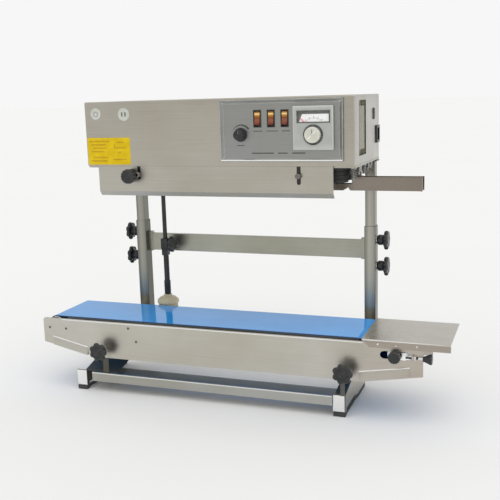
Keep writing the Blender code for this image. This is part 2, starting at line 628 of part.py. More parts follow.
def build_inlet(head):
    end = HEAD_X[1]
    flange = block((end + GAP, end + mm(3)), INLET_Y, INLET_Z)
    inlet = add("power_inlet", flange, BLACK_PLASTIC, parent=head)
    body_y = (INLET_Y[0] + mm(2.4), INLET_Y[1] - mm(2.4))
    join(inlet, block((end - mm(18), end + mm(1)), body_y, mm(503.4, 530.6)))
    cut(inlet, block((end - mm(14), end + mm(5)), INLET_SOCKET_Y, INLET_SOCKET_Z))


INLET_SOCKET_Y = mm(87, 105)
INLET_SOCKET_Z = mm(505.5, 529)


# Guard
GUARD_Y = mm(-92.4, -91.2)
GUARD_TOP = mm(474.5)
SCREWS = {"left": mm(-172.2, 454.2), "right": mm(148.4, 452.8)}
SLOT_BOTTOM = {"left": mm(445), "right": mm(437)}
PRESSURE_XZ = mm(-186, 452)


def build_guard(head):
    bottom_y = (GUARD_Y[0] + mm(7), GUARD_Y[1] + mm(7))
    fold = mm(421.5)
    outline = [(GUARD_Y[0], GUARD_TOP), (GUARD_Y[0], fold), (bottom_y[0], GUARD_BOTTOM)]
    outline += [(bottom_y[1], GUARD_BOTTOM), (GUARD_Y[1], fold + mm(0.6)), (GUARD_Y[1], GUARD_TOP)]
    guard = add("front_guard", prism(outline, "X", *GUARD_X), STAINLESS, parent=head)
    through = (GUARD_Y[0] - mm(5), GUARD_Y[1] + mm(5))
    for side, (x, z) in SCREWS.items():
        low = SLOT_BOTTOM[side]
        middle, radius = low + mm(3.6), mm(3.6)
        arc = half_turn(pi, 2 * pi, 8)
        outline = [(x + radius * cos(a), middle + radius * sin(a)) for a in arc]
        outline += [(x + radius, GUARD_TOP + mm(3)), (x - radius, GUARD_TOP + mm(3))]
        cut(guard, prism(outline, "Y", *through))
        profile = [(mm(-86), mm(2.8)), (GUARD_Y[0] - mm(0.4), mm(2.8)), (GUARD_Y[0] - mm(0.4), mm(5.2))]
        profile += [(GUARD_Y[0] - mm(8), mm(5.2)), (GUARD_Y[0] - mm(9), mm(4.4))]
        screw = turned(profile, "Y", (x, z), 18)
        add(f"guard_screw_{side}", screw, CHROME, (x, GUARD_Y[0], z), head, smooth=True)
    x, z = PRESSURE_XZ
    cut(guard, block((x - mm(4.3), x + mm(4.3)), through, mm(441.5, 464.2)))
    depths = mm(22.4, -0.6, -0.6, -10, -11, -22, -24.1)
    radii = mm(3.8, 3.8, 7, 7, 11.8, 12.8, 11)
    lobe_depths = mm(0, 0, 0, 0, 0.6, 0.8, 0.6)
    stations = [(GUARD_Y[0] + d, r, lobe) for d, r, lobe in zip(depths, radii, lobe_depths)]
    knob = lobed("Y", PRESSURE_XZ, stations, lobes=12, per_lobe=4)
    add("pressure_knob", knob, BLACK_PLASTIC, (x, GUARD_Y[0], z), head, smooth=True)


def half_turn(start, end, steps):
    return [start + (end - start) * i / steps for i in range(steps + 1)]


# Sealing works under and inside the head
GEAR_TEETH = 20


def spur_outline(centre, tooth_angle):
    outline = []
    for tooth in range(GEAR_TEETH):
        middle = tooth_angle + 2 * pi * tooth / GEAR_TEETH
        for offset, radius in ((-4.6, 19.4), (-2.2, 23.2), (2.2, 23.2), (4.6, 19.4)):
            angle = middle + radians(offset)
            reach = mm(radius)
            outline.append((centre[0] + reach * cos(angle), centre[1] + reach * sin(angle)))
    return outline


def wheel(name, x, sign, head, geared):
    """A band wheel on its vertical shaft, which passes the base plate."""
    centre = (x, SEAL_Y + sign * WHEEL_OFFSET)
    low, high = WHEEL_Z
    profile = [(low - mm(8), mm(5)), (low, mm(5)), (low, mm(17)), (low + mm(0.2), WHEEL_R)]
    profile += [(high - mm(0.2), WHEEL_R), (high, mm(17)), (high, mm(5)), (mm(500), mm(5))]
    obj = add(name, turned(profile, "Z", centre, 28), ALUMINIUM, (*centre, 0.0), head, smooth=True)
    if geared:
        tooth = pi / 2 if sign < 0 else -pi / 2 + pi / GEAR_TEETH
        join(obj, prism(spur_outline(centre, tooth), "Z", *mm(480, 488)))
    return obj


def band(name, sign, head):
    """A sealing band round one drive wheel and one driven wheel."""
    y = SEAL_Y + sign * WHEEL_OFFSET
    low, high = WHEEL_Z[0] + mm(1), WHEEL_Z[1] - mm(1)
    ends = ((DRIVEN_WHEEL_X, -pi / 2), (DRIVE_WHEEL_X, pi / 2))
    rings = []
    for z, grow in ((low, 1.3), (high, 1.3), (high, 0.3), (low, 0.3)):
        reach = WHEEL_R + mm(grow)
        ring = []
        for x, start in ends:
            for a in half_turn(start, start + pi, 14):
                ring.append(Vector((x + reach * cos(a), y + reach * sin(a), z)))
        rings.append(ring)
    return add(name, loft(rings, loop=True), BAND_BROWN, parent=head, smooth=True)


def pressing_block(name, x, sign, look, head, fins):
    """A block that backs its band along the sealing line, hung from the base plate."""
    near, far = SEAL_Y + sign * mm(2.1), SEAL_Y + sign * mm(13)
    y = tuple(sorted((near, far)))
    obj = add(name, block(x, y, mm(438, 458)), look, parent=head)
    hanger_y = tuple(sorted((SEAL_Y + sign * mm(6), SEAL_Y + sign * mm(11))))
    middle = (x[0] + x[1]) / 2
    for offset in mm(-25, 25):
        hanger_x = (middle + offset - mm(3), middle + offset + mm(3))
        join(obj, block(hanger_x, hanger_y, mm(457, 466.7)))
    for i in range(fins):
        at = x[0] + (i + 1) * (x[1] - x[0]) / (fins + 1)
        groove_y = tuple(sorted((SEAL_Y + sign * mm(8), SEAL_Y + sign * mm(16))))
        cut(obj, block((at - mm(2), at + mm(2)), groove_y, mm(436, 455)))


def build_sealing(head):
    for place, sign in (("front", -1), ("rear", 1)):
        wheel(f"drive_wheel_{place}", DRIVE_WHEEL_X, sign, head, geared=True)
        wheel(f"driven_wheel_{place}", DRIVEN_WHEEL_X, sign, head, geared=False)
        band(f"sealing_band_{place}", sign, head)
        pressing_block(f"heater_block_{place}", mm(-20, 100), sign, COPPER, head, 0)
        pressing_block(f"cooling_block_{place}", mm(-150, -60), sign, ALUMINIUM, head, 6)
        centre = (PULLEY_X, SEAL_Y + sign * WHEEL_OFFSET)
        profile = [(mm(434), mm(5)), (mm(438), mm(5)), (mm(438), mm(19)), (mm(438.2), mm(20))]
        profile += [(mm(465.4), mm(20)), (mm(465.6), mm(19)), (mm(466), mm(5)), (mm(478), mm(5))]
        pulley = turned(profile, "Z", centre, 28)
        add(f"guide_pulley_{place}", pulley, BLACK_RUBBER, (*centre, 0.0), head, smooth=True)
    motor = turned([(x, mm(31)) for x in mm(-130, -20)], "X", mm(45, 530), 24)
    motor = add("gear_motor", motor, STEEL, parent=head, smooth=True)
    join(motor, block(mm(-178, -128), mm(12, 92), mm(492, 562)))
    join(motor, block(mm(-150, -60), mm(25, 65), mm(471, 505)))


def build_infeed(head):
    """Two rails that lead the bag's mouth to the bands under one bridge, lower where the pulleys are."""
    outline = [mm(192, 421), mm(216, 421), mm(224, 428), mm(229, 421), mm(360, 421), mm(360, 446)]
    outline += [mm(232, 446), mm(232, 433), mm(192, 433)]
    guide = None
    for sign in (-1, 1):
        faces = sorted((SEAL_Y + sign * mm(8.5), SEAL_Y + sign * mm(10)))
        rail = prism(outline, "Y", *faces)
        if guide is None:
            guide = add("infeed_guide", rail, STAINLESS, parent=head)
        else:
            join(guide, rail)
    join(guide, block(mm(233, 249), (SEAL_Y - mm(9.6), SEAL_Y + mm(9.6)), mm(444.5, 447)))
    join(guide, block(mm(236, 248), (SEAL_Y - mm(4), SEAL_Y + mm(4)), mm(446, 466.7)))
    for sign in (-1, 1):
        edge = sorted((SEAL_Y + sign * mm(9), SEAL_Y + sign * mm(13)))
        join(guide, block(mm(356, 360), edge, mm(421, 446)))


# Tension screw at the infeed end
def build_tension_screw():
    profile = [(mm(336.5), mm(2)), (mm(372.4), mm(2)), (mm(372.4), mm(5)), (mm(375), mm(5))]
    profile += [(mm(385), mm(9.8)), (mm(388), mm(9.8))]
    screw = turned(profile, "X", ROD_YZ, 20)
    add("tension_screw", screw, BLACK_PLASTIC, (mm(372.4), *ROD_YZ), smooth=True)


def main():
    head = bpy.data.objects.new("head_frame", None)
    head.location = (0.0, 0.0, HEAD_Z[0])
    bpy.context.scene.collection.objects.link(head)
    build_base()
    build_front_knobs()
    build_conveyor()
    build_tension_screw()
    build_posts(head)
    build_drive_shaft(head)
    build_head(head)
    build_panel(head)
    build_inlet(head)
    build_guard(head)
    build_sealing(head)
    build_infeed(head)


main()
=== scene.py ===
"""Looks of the continuous band sealer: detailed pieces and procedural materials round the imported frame."""

import json
from math import atan2, acos, cos, pi, radians, sin, sqrt

import bmesh
import bpy
from mathutils import Matrix, Vector


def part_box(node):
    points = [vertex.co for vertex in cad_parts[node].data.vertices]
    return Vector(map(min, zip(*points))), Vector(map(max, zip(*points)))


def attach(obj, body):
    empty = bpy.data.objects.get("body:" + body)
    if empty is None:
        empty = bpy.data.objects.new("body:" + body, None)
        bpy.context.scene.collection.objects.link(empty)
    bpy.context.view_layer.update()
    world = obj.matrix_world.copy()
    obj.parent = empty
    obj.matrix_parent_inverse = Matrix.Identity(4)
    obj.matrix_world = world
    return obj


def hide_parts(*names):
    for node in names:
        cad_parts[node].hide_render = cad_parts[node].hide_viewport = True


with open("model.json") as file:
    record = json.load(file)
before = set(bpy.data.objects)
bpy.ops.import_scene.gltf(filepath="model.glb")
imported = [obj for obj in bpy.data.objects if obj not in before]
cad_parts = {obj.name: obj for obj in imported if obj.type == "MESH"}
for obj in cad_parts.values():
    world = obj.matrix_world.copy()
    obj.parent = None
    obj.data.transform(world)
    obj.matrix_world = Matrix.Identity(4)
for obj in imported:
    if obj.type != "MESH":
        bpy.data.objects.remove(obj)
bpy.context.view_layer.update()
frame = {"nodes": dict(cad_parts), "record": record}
NODES = frame["nodes"]
JOINTS = {joint["name"]: joint for joint in frame["record"]["behaviour"]["joints"]}


def mm(*values):
    scaled = tuple(value * 0.001 for value in values)
    return scaled[0] if len(scaled) == 1 else scaled


def axis_point(joint):
    return Vector(JOINTS[joint]["pos_m"])


def hub(joint, axis):
    """Where a joint's axis stands, seen along it."""
    return tuple(value for value, name in zip(axis_point(joint), "XYZ") if name != axis)


# ---------------------------------------------------------------- measures
# Places in the frame and sizes, as fitted to the photo or taken from the CAD.
CONVEYOR_FRONT, CONVEYOR_REAR = mm(-86.5, 48.5)
BED_END_X = mm(252)
DRUM_Y = mm(-84, 46)
NOSE_RADIUS, TENSION_RADIUS = mm(18, 16)
RIGHT_FLANGE_X, FLANGE_WIDTH = mm(204, 22.6)
POST_HALF, KNOB_TO_POST = mm(11.2, 11.5)
ROD_RADIUS = mm(4.5)
VENT_Y, VENT_Z, VENT_DEPTH = mm(-63.5, -5.5), mm(486, 584), mm(7.2)
ROCKER_X, ROCKER_Z = mm(74, 99.9, 125.5), mm(556)
SOCKET_Y, SOCKET_Z = mm(87, 105), mm(505.5, 529)
WINDOW_X, WINDOW_Z = mm(149.6, 209.8), mm(547.4, 568.6)
LABEL_Z = mm(473.2, 525)
NEAR = 1e-5  # metres: less than this counts as the same place
CAMERA_PLACE = (0.5705, -1.4936, 0.5986)
CAMERA_YAW, CAMERA_PITCH, CAMERA_ROLL = 0.355, -0.188, 0.030


# ---------------------------------------------------------------- materials
ALONG_GRAIN, ACROSS_GRAIN = 9.0, 1500.0  # how closely brushed streaks repeat
FINE = 0.00008  # depth of a fine bump


def put(tree, socket, value):
    """Joins a socket to an input, or sets the input to a value."""
    if isinstance(value, bpy.types.NodeSocket):
        tree.links.new(value, socket)
    else:
        socket.default_value = value


def add(tree, kind, **inputs):
    """A new shader node, each input joined to a socket or set to a value."""
    made = tree.nodes.new(f"ShaderNode{kind}")
    for name, value in inputs.items():
        put(tree, made.inputs[name.replace("_", " ")], value)
    return made


def new_material(name, roughness=0.5, metallic=0.0, **sockets):
    made = bpy.data.materials.new(name)
    made.use_nodes = True
    tree = made.node_tree
    shader = tree.nodes["Principled BSDF"]
    for socket, value in {"Roughness": roughness, "Metallic": metallic, **sockets}.items():
        put(tree, shader.inputs[socket.replace("_", " ")], value)
    return made, tree, shader


def pattern(tree, scale, detail=3.0):
    """Noise in object coordinates, scaled alike or by (X, Y, Z)."""
    place = add(tree, "TexCoord").outputs["Object"]
    scale = scale if isinstance(scale, tuple) else (scale,) * 3
    stretch = add(tree, "Mapping", Vector=place, Scale=scale).outputs["Vector"]
    return add(tree, "TexNoise", Vector=stretch, Scale=1.0, Detail=detail).outputs["Fac"]


def position(tree, axis, start, end, source="Object"):
    """0 to 1 between two places along an axis of the object's own or Generated coordinates."""
    split = add(tree, "SeparateXYZ", Vector=add(tree, "TexCoord").outputs[source])
    span = add(tree, "MapRange", Value=split.outputs[axis], From_Min=start, From_Max=end)
    return span.outputs["Result"]


def ramp(tree, source, low, high, start=0.3, end=0.7, between=()):
    """Maps source's start..end to a colour or grey from low to high, with stops (place, colour) between."""
    made = add(tree, "ValToRGB", Fac=source)
    stops = made.color_ramp.elements
    for stop, value, at in zip(stops, (low, high), (start, end)):
        stop.position = at
        stop.color = (value, value, value, 1.0) if isinstance(value, float) else (*value, 1.0)
    for at, value in between:
        stops.new(at).color = (*value, 1.0)
    return made.outputs["Color"]


def toned(colour, share):
    return tuple(min(1.0, part * share) for part in colour)


def mixed(tree, factor, a, b, blend="MIX"):
    made = add(tree, "Mix")
    made.data_type = "RGBA"
    made.blend_type = blend
    put(tree, made.inputs["Factor"], factor)
    for name, value in (("A", a), ("B", b)):
        socket = next(s for s in made.inputs if s.name == name and s.type == "RGBA")
        put(tree, socket, (*value, 1.0) if isinstance(value, tuple) else value)
    return next(s for s in made.outputs if s.type == "RGBA")


def surface(tree, shader, colour, rough, height, strength, distance):
    """Joins a colour, a roughness and a bump to the shader."""
    bump = add(tree, "Bump", Height=height, Strength=strength, Distance=distance)
    put(tree, shader.inputs["Normal"], bump.outputs["Normal"])
    put(tree, shader.inputs["Base Color"], colour)
    if rough:
        put(tree, shader.inputs["Roughness"], rough)


def worn(tree, base, rubbed):
    """Edge wear from the surface's own convexity."""
    edges = add(tree, "NewGeometry").outputs["Pointiness"]
    return mixed(tree, ramp(tree, edges, 0.0, 1.0, 0.52, 0.6), base, rubbed)


def sheet_metal(name, colour, grain, roughness=0.34, tint=0.06):
    """Brushed stainless: fine streaks along grain, faint clouds of tone and handling marks."""
    made, tree, shader = new_material(name, roughness, 1.0)
    streaks = pattern(tree, tuple(ALONG_GRAIN if axis == grain else ACROSS_GRAIN for axis in "XYZ"), 4.0)
    clouds = pattern(tree, (5.0, 5.0, 7.0), 3.0)
    smudges = pattern(tree, (34.0, 34.0, 26.0), 6.0)
    light = tuple(c * (1 + tint) for c in colour)
    dark = (colour[0] * (1 - tint), colour[1] * (1 - tint * 1.3), colour[2] * (1 - tint * 2.2))
    base = ramp(tree, clouds, dark, light, 0.35, 0.65)
    lines = ramp(tree, streaks, 0.93, 1.05, 0.32, 0.68)
    rough = mixed(tree, 0.5, ramp(tree, streaks, roughness - 0.09, roughness + 0.10),
                  ramp(tree, smudges, roughness - 0.07, roughness + 0.12, 0.4, 0.72))
    surface(tree, shader, mixed(tree, 1.0, base, lines, "MULTIPLY"), rough, streaks, 0.07, FINE)
    return made


def moulded(name, colour, roughness=0.4, speck=900.0, strength=0.12, tone=0.3):
    """Moulded plastic or rubber: a fine texture, slight tone changes and rubbed edges."""
    made, tree, shader = new_material(name, roughness)
    clouds = pattern(tree, 60.0, 4.0)
    base = ramp(tree, clouds, toned(colour, 1 - tone), toned(colour, 1 + tone))
    rubbed = tuple(min(1.0, c * 1.5 + 0.02) for c in colour)
    rough = ramp(tree, clouds, max(0.05, roughness - 0.08), roughness + 0.1)
    surface(tree, shader, worn(tree, base, rubbed), rough, pattern(tree, speck, 2.0), strength, FINE)
    return made


def turned_metal(name, colour, roughness=0.25):
    """Machined or plated metal: fine rings and soft clouds of tone."""
    made, tree, shader = new_material(name, roughness, 1.0)
    rings = pattern(tree, 700.0, 2.0)
    base = ramp(tree, pattern(tree, 45.0, 4.0), toned(colour, 0.78), toned(colour, 1.15))
    rough = ramp(tree, rings, roughness - 0.08, roughness + 0.12)
    surface(tree, shader, base, rough, rings, 0.08, 0.00006)
    return made


def belt_material():
    """Smooth PU belt: saturated blue under a glossy skin, painted shade along its side edges, ripples and a
    few scuffs.
    """
    made, tree, shader = new_material("belt_blue", 0.08, Coat_Weight=0.1, Coat_Roughness=0.05)
    base = ramp(tree, pattern(tree, (9.0, 16.0, 9.0), 4.0), (0.014, 0.29, 0.76), (0.024, 0.34, 0.86))
    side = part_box("conveyor_belt")[0][1]
    # Painted shade: dark navy along the belt's side edges.
    edge = position(tree, "Y", side + mm(0.5), side + mm(0.34))
    colour = mixed(tree, edge, base, (0.008, 0.05, 0.14))
    rough = ramp(tree, pattern(tree, (14.0, 260.0, 40.0), 6.0), 0.06, 0.17, 0.45, 0.75)
    surface(tree, shader, colour, rough, pattern(tree, (20.0, 12.0, 20.0), 2.0), 0.05, 0.0006)
    return made


def amber_material():
    """Rocker lens: painted light, amber with a bright painted highlight near the top and painted shade in
    brown-red towards the bottom.
    """
    made, tree, shader = new_material("rocker_amber", 0.2, Specular_IOR_Level=0.3)
    tone = ramp(
        tree, position(tree, "Z", 0.0, 1.0, "Generated"), (0.05, 0.012, 0.008), (0.10, 0.035, 0.008),
        0.0, 1.0, ((0.14, (0.22, 0.055, 0.025)), (0.36, (0.30, 0.10, 0.06)), (0.56, (0.22, 0.07, 0.015)),
                   (0.72, (0.55, 0.24, 0.03)), (0.82, (1.0, 0.78, 0.36)), (0.90, (0.50, 0.22, 0.03))))
    cells = pattern(tree, 500.0, 2.0)
    colour = mixed(tree, 1.0, tone, ramp(tree, cells, 0.85, 1.1), "MULTIPLY")
    surface(tree, shader, colour, None, cells, 0.1, 0.0001)
    return made


def label_material(name, colour, second):
    """Printed foil: slightly uneven ink on a satin film."""
    made, tree, shader = new_material(name, 0.42, Specular_IOR_Level=0.15)
    ink = ramp(tree, pattern(tree, (70.0, 70.0, 90.0), 5.0), colour, second, 0.38, 0.66)
    fibre = pattern(tree, 300.0, 2.0)
    surface(tree, shader, ink, ramp(tree, fibre, 0.34, 0.54), fibre, 0.06, FINE)
    return made


STEEL_HEAD = sheet_metal("stainless_guard", (0.465, 0.445, 0.395), "X")
STEEL_BASE = sheet_metal("stainless_base", (0.45, 0.45, 0.425), "X", 0.36)
STEEL_PLATE = sheet_metal("stainless_side_plate", (0.50, 0.465, 0.425), "X", 0.36)
STEEL_BAR = sheet_metal("stainless_bar", (0.40, 0.40, 0.345), "X", 0.36)
STEEL_Z = sheet_metal("stainless_upright_grain", (0.42, 0.41, 0.355), "Z", 0.30)
STEEL_TOP = sheet_metal("stainless_tray", (0.565, 0.545, 0.515), "X", 0.30)
# Painted shade: a darker, warmer copy of the stainless for the tray's flange face and the strip under the
# cover's lower edge.
STEEL_SHADED_LIP = sheet_metal("stainless_lip_painted_shade", (0.40, 0.355, 0.315), "X", 0.28)
STEEL_PAINTED_SHADE = sheet_metal("stainless_painted_shade", (0.105, 0.105, 0.096), "Y", 0.42, 0.15)
# Painted shade for the brackets and the bed plate: part metal, part grey, dark as they stand in shade.
STEEL_PAINTED_SHADE.node_tree.nodes["Principled BSDF"].inputs["Metallic"].default_value = 0.45
# Painted highlight: a near-white copy of the stainless for bright folds and edges, the bracket flanges and
# the tension slider.
STEEL_PAINTED_HIGHLIGHT = sheet_metal("stainless_painted_highlight", (0.93, 0.93, 0.92), "X", 0.2, 0.01)
STEEL_GUIDE = sheet_metal("stainless_guide", (0.27, 0.235, 0.205), "X", 0.30)
STEEL_DARK = turned_metal("blackened_steel", (0.055, 0.055, 0.055), 0.30)
CHROME = turned_metal("polished_chrome", (0.74, 0.74, 0.73), 0.12)
ALUMINIUM = turned_metal("turned_aluminium", (0.62, 0.63, 0.64), 0.28)
BRASS = turned_metal("milled_brass", (0.62, 0.42, 0.2), 0.3)
PANEL = sheet_metal("panel_grey", (0.325, 0.33, 0.32), "X", 0.42, 0.04)
# Paler metal: painted highlight on the panel's edge lines; also the panel screws.
RIM = turned_metal("panel_bright_rim", (0.50, 0.51, 0.50), 0.25)
SCREW_STEEL = turned_metal("zinc_screw", (0.20, 0.19, 0.175), 0.3)
BLACK = moulded("black_plastic", (0.017, 0.018, 0.019), 0.28, 900.0, 0.05, 0.2)
BLACK_PRINT = moulded("black_print", (0.03, 0.03, 0.03), 0.55, 300.0, 0.05)
RUBBER = moulded("black_rubber", (0.022, 0.022, 0.023), 0.62, 500.0, 0.3)
CASE = moulded("controller_case", (0.46, 0.475, 0.445), 0.4, 800.0, 0.1, 0.05)
IVORY = moulded("ivory_knob", (0.66, 0.65, 0.57), 0.28, 500.0, 0.05, 0.06)
DIAL_FACE = moulded("meter_face", (0.80, 0.80, 0.79), 0.5, 300.0, 0.03, 0.04)
NYLON = moulded("beige_nylon", (0.52, 0.47, 0.33), 0.38, 260.0, 0.12, 0.1)
MOTOR = moulded("motor_enamel", (0.06, 0.065, 0.07), 0.4, 240.0, 0.3)
BAND = moulded("sealing_band", (0.22, 0.14, 0.08), 0.42, 1200.0, 0.3, 0.15)
RED = moulded("red_enamel", (0.62, 0.03, 0.02), 0.35)
BELT = belt_material()
AMBER = amber_material()
YELLOW = label_material("yellow_label", (0.71, 0.49, 0.006), (0.79, 0.57, 0.012))
YELLOW_INK = label_material("label_ink", (0.52, 0.31, 0.015), (0.62, 0.40, 0.02))
STICKER_RING = label_material("sticker_grey", (0.36, 0.36, 0.36), (0.42, 0.42, 0.41))
WHITE_FOIL = label_material("pale_sticker", (0.56, 0.58, 0.52), (0.64, 0.65, 0.60))
GREY_INK = label_material("sticker_ink", (0.16, 0.17, 0.15), (0.22, 0.23, 0.21))
GREY_PRINT = label_material("panel_print", (0.085, 0.088, 0.085), (0.11, 0.112, 0.11))
BRACKET_GREY = turned_metal("zinc_bracket", (0.16, 0.16, 0.15), 0.3)
ZINC = turned_metal("zinc_stud", (0.34, 0.34, 0.32), 0.22)
# Painted shadow: near-black for the vent's gaps; also the cutters' material.
VOID = moulded("inner_shadow", (0.012, 0.012, 0.012), 0.8, 300.0, 0.02)


# ---------------------------------------------------------------- shapes
def point(axis, along, u, v):
    return Vector({"X": (along, u, v), "Y": (u, along, v), "Z": (u, v, along)}[axis])


def loft(rings, loop=False, caps=True):
    bm = bmesh.new()
    made = [[bm.verts.new(p) for p in ring] for ring in rings]
    pairs = list(zip(made, made[1:]))
    if loop:
        pairs.append((made[-1], made[0]))
    for a, b in pairs:
        for i, corner in enumerate(a):
            j = (i + 1) % len(a)
            bm.faces.new((corner, a[j], b[j], b[i]))
    if caps and not loop:
        bm.faces.new(made[0])
        bm.faces.new(made[-1])
    bmesh.ops.recalc_face_normals(bm, faces=bm.faces)
    return bm


def prism(outline, axis, low, high):
    return loft([[point(axis, along, u, v) for u, v in outline] for along in (low, high)])


def rect(u, v):
    return [(u[0], v[0]), (u[1], v[0]), (u[1], v[1]), (u[0], v[1])]


def block(x, y, z):
    return prism(rect(x, y), "Z", z[0], z[1])


def around(value, below, above=None):
    """From below millimetres under a value to above millimetres over it."""
    return value - mm(below), value + mm(below if above is None else above)


def grown(span, by):
    return span[0] - mm(by), span[1] + mm(by)


def along(base, way, *rows):
    """Rows of (distance from base, measures...) in millimetres as places along an axis."""
    return [(base + way * mm(row[0]), *(mm(value) for value in row[1:])) for row in rows]


def turns(steps, whole=2 * pi):
    return [whole * i / steps for i in range(steps)]


def circle(radius, steps, centre=(0.0, 0.0), turn=0.0):
    angles = [turn + 2 * pi * i / steps for i in range(steps)]
    return [(centre[0] + radius * cos(a), centre[1] + radius * sin(a)) for a in angles]


def turned(profile, axis, centre, steps=48, loop=False, ease=0.0):
    """A round shape from (place, radius) rows, with its corners eased."""
    rings = [[point(axis, at, u, v) for u, v in circle(max(radius, NEAR), steps, centre)]
             for at, radius in (softened(profile, ease) if ease else profile)]
    return loft(rings, loop)


def softened(profile, ease):
    """The profile with each corner cut back by ease, for small rounded edges."""
    out = [profile[0]]
    for before, here, after in zip(profile, profile[1:], profile[2:]):
        here_v, a, b = Vector(here), Vector(before), Vector(after)
        for other in (a, b):
            gap = other - here_v
            reach = min(ease, gap.length * 0.4)
            if reach > 1e-6:
                out.append(tuple(here_v + gap.normalized() * reach))
    out.append(profile[-1])
    return out


def lobed(axis, centre, stations, lobes=7, per_lobe=12, sharp=1.0):
    """A round grip with lobes, from (place, radius, depth of the hollows) stations."""
    rings = []
    for at, radius, depth in stations:
        ring = []
        for angle in turns(lobes * per_lobe):
            wave = (0.5 - 0.5 * cos(lobes * angle)) ** sharp
            reach = max(radius - depth * wave, NEAR)
            ring.append(point(axis, at, centre[0] + reach * cos(angle), centre[1] + reach * sin(angle)))
        rings.append(ring)
    return loft(rings)


def merged(meshes):
    """Several closed shapes in one mesh."""
    total = bmesh.new()
    for bm in meshes:
        temp = bpy.data.meshes.new("temp")
        bm.to_mesh(temp)
        bm.free()
        total.from_mesh(temp)
        bpy.data.meshes.remove(temp)
    return total


def link(name, bm, material, angle=32.0):
    mesh = bpy.data.meshes.new(name)
    bm.to_mesh(mesh)
    bm.free()
    mesh.materials.append(material)
    mesh.shade_smooth()
    mesh.set_sharp_from_angle(angle=radians(angle))
    obj = bpy.data.objects.new(name, mesh)
    bpy.context.scene.collection.objects.link(obj)
    return obj


def bevel(obj, width, segments=2, angle=35.0):
    step = obj.modifiers.new("edges", "BEVEL")
    step.width = width
    step.segments = segments
    step.limit_method = "ANGLE"
    step.angle_limit = radians(angle)
    step.harden_normals = True
    return obj


def piece(name, bm, material, body="head", replaces=(), slot=None, edge=None, segments=2, angle=35.0):
    """A visible piece, from one shape or a list of shapes, that rides on a body."""
    obj = link(name, merged(bm) if isinstance(bm, list) else bm, material)
    if edge:
        bevel(obj, edge, segments, angle)
    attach(obj, body)
    if replaces:
        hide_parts(*replaces)
    return obj


def moving(name, bm, material, node, slot, **extra):
    """A piece that rides on its node's own body and stands in for the node."""
    return piece(name, bm, material, node, (node,), slot, **extra)


def keep(material, edge, *names):
    """CAD nodes that stay, with their own material and eased edges."""
    for name in names:
        obj = NODES[name]
        obj.data.materials.clear()
        obj.data.materials.append(material)
        if edge:
            weld = obj.modifiers.new("weld", "WELD")
            weld.merge_threshold = 0.00001
            bevel(obj, edge, 2, 40.0)


def cut(obj, cutters, node, angle=30.0):
    """Cuts obj, leaving no cutter in the scene, and puts it on the head in node's place."""
    for i, bm in enumerate(cutters):
        step = obj.modifiers.new("cut", "BOOLEAN")
        step.operation = "DIFFERENCE"
        step.solver = "EXACT"
        step.object = link(f"cutter_{i}", bm, VOID)
    graph = bpy.context.evaluated_depsgraph_get()
    mesh = bpy.data.meshes.new_from_object(obj.evaluated_get(graph))
    helpers = [step.object for step in obj.modifiers if step.type == "BOOLEAN"]
    obj.modifiers.clear()
    obj.data = mesh
    for helper in helpers:
        bpy.data.objects.remove(helper, do_unlink=True)
    mesh.shade_smooth()
    mesh.set_sharp_from_angle(angle=radians(angle))
    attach(obj, "head")
    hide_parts(node)


# ---------------------------------------------------------------- stand
STAR_GRIP = (  # hub, flare and rounded rim, dished front, raised cap: (height, radius, hollow) as shares
    (0.0, 0.32, 0), (0.07, 0.40, 0), (0.14, 0.50, 0), (0.20, 0.54, 0), (0.46, 0.54, 0), (0.53, 0.50, 0),
    (0.57, 0.54, 0.1), (0.62, 0.5, 0.4), (0.66, 0.86, 0.9), (0.70, 0.95, 1.0), (0.76, 0.99, 1.0),
    (0.84, 1.0, 1.0), (0.92, 0.98, 1.0), (0.97, 0.92, 0.95), (0.995, 0.82, 0.8), (0.985, 0.66, 0.45),
    (0.955, 0.54, 0.1), (0.955, 0.47, 0), (0.985, 0.44, 0), (1.0, 0.38, 0), (1.0, 0.02, 0))
LOCK_GRIP = ((0.02, 0.3, 0), (0.10, 0.36, 0), (0.17, 0.62, 0.5), (0.25, 0.86, 0.9), (0.36, 0.97, 1),
             (0.5, 1, 1), (0.84, 1, 1), (0.93, 0.95, 0.9), (0.985, 0.84, 0.6), (1.0, 0.7, 0.2),
             (0.96, 0.5, 0), (0.96, 0.02, 0))
NUT_GRIP = ((0.0, 0.45, 0), (0.3, 0.5, 0), (0.36, 0.9, 1), (0.42, 0.99, 1), (0.5, 1, 1), (0.88, 0.98, 1),
            (0.96, 0.9, 1), (1.0, 0.78, 0.6), (0.97, 0.55, 0), (0.97, 0.02, 0))
STAR_HOLLOW = 0.17  # depth of a star grip's hollows, as a share of its radius


def shaped(shares, base, reach, radius, hollow):
    """Stations of a grip from its shape's shares of height, radius and hollow."""
    return [(base + t * reach, radius * r, hollow * d) for t, r, d in shares]


def star_knob(node, axis, way):
    low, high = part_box(node)
    joint = f"{node}_turn"
    i = "XYZ".index(axis)
    centre, face = hub(joint, axis), axis_point(joint)[i]
    inner, outer = (low[i], high[i]) if way > 0 else (high[i], low[i])
    radius = max(high[k] - axis_point(joint)[k] for k in range(3) if k != i)
    stations = shaped(STAR_GRIP, face, outer - face, radius, radius * STAR_HOLLOW)
    moving(f"{node}_grip", lobed(axis, centre, stations, sharp=1.7), BLACK, node, "black_plastic")
    bolt = along(inner, way, (0, 0), (0, 2.9)) + along(face, way, (2, 2.9))
    piece(f"{node}_bolt", turned(bolt, axis, centre, 20, ease=mm(0.4)), CHROME, node)
    washer = along(face, way, (-0.1, 3), (-0.1, 8.2), (1.1, 8.2), (1.1, 3))
    piece(f"{node}_washer", turned(washer, axis, centre, 28), CHROME, node)


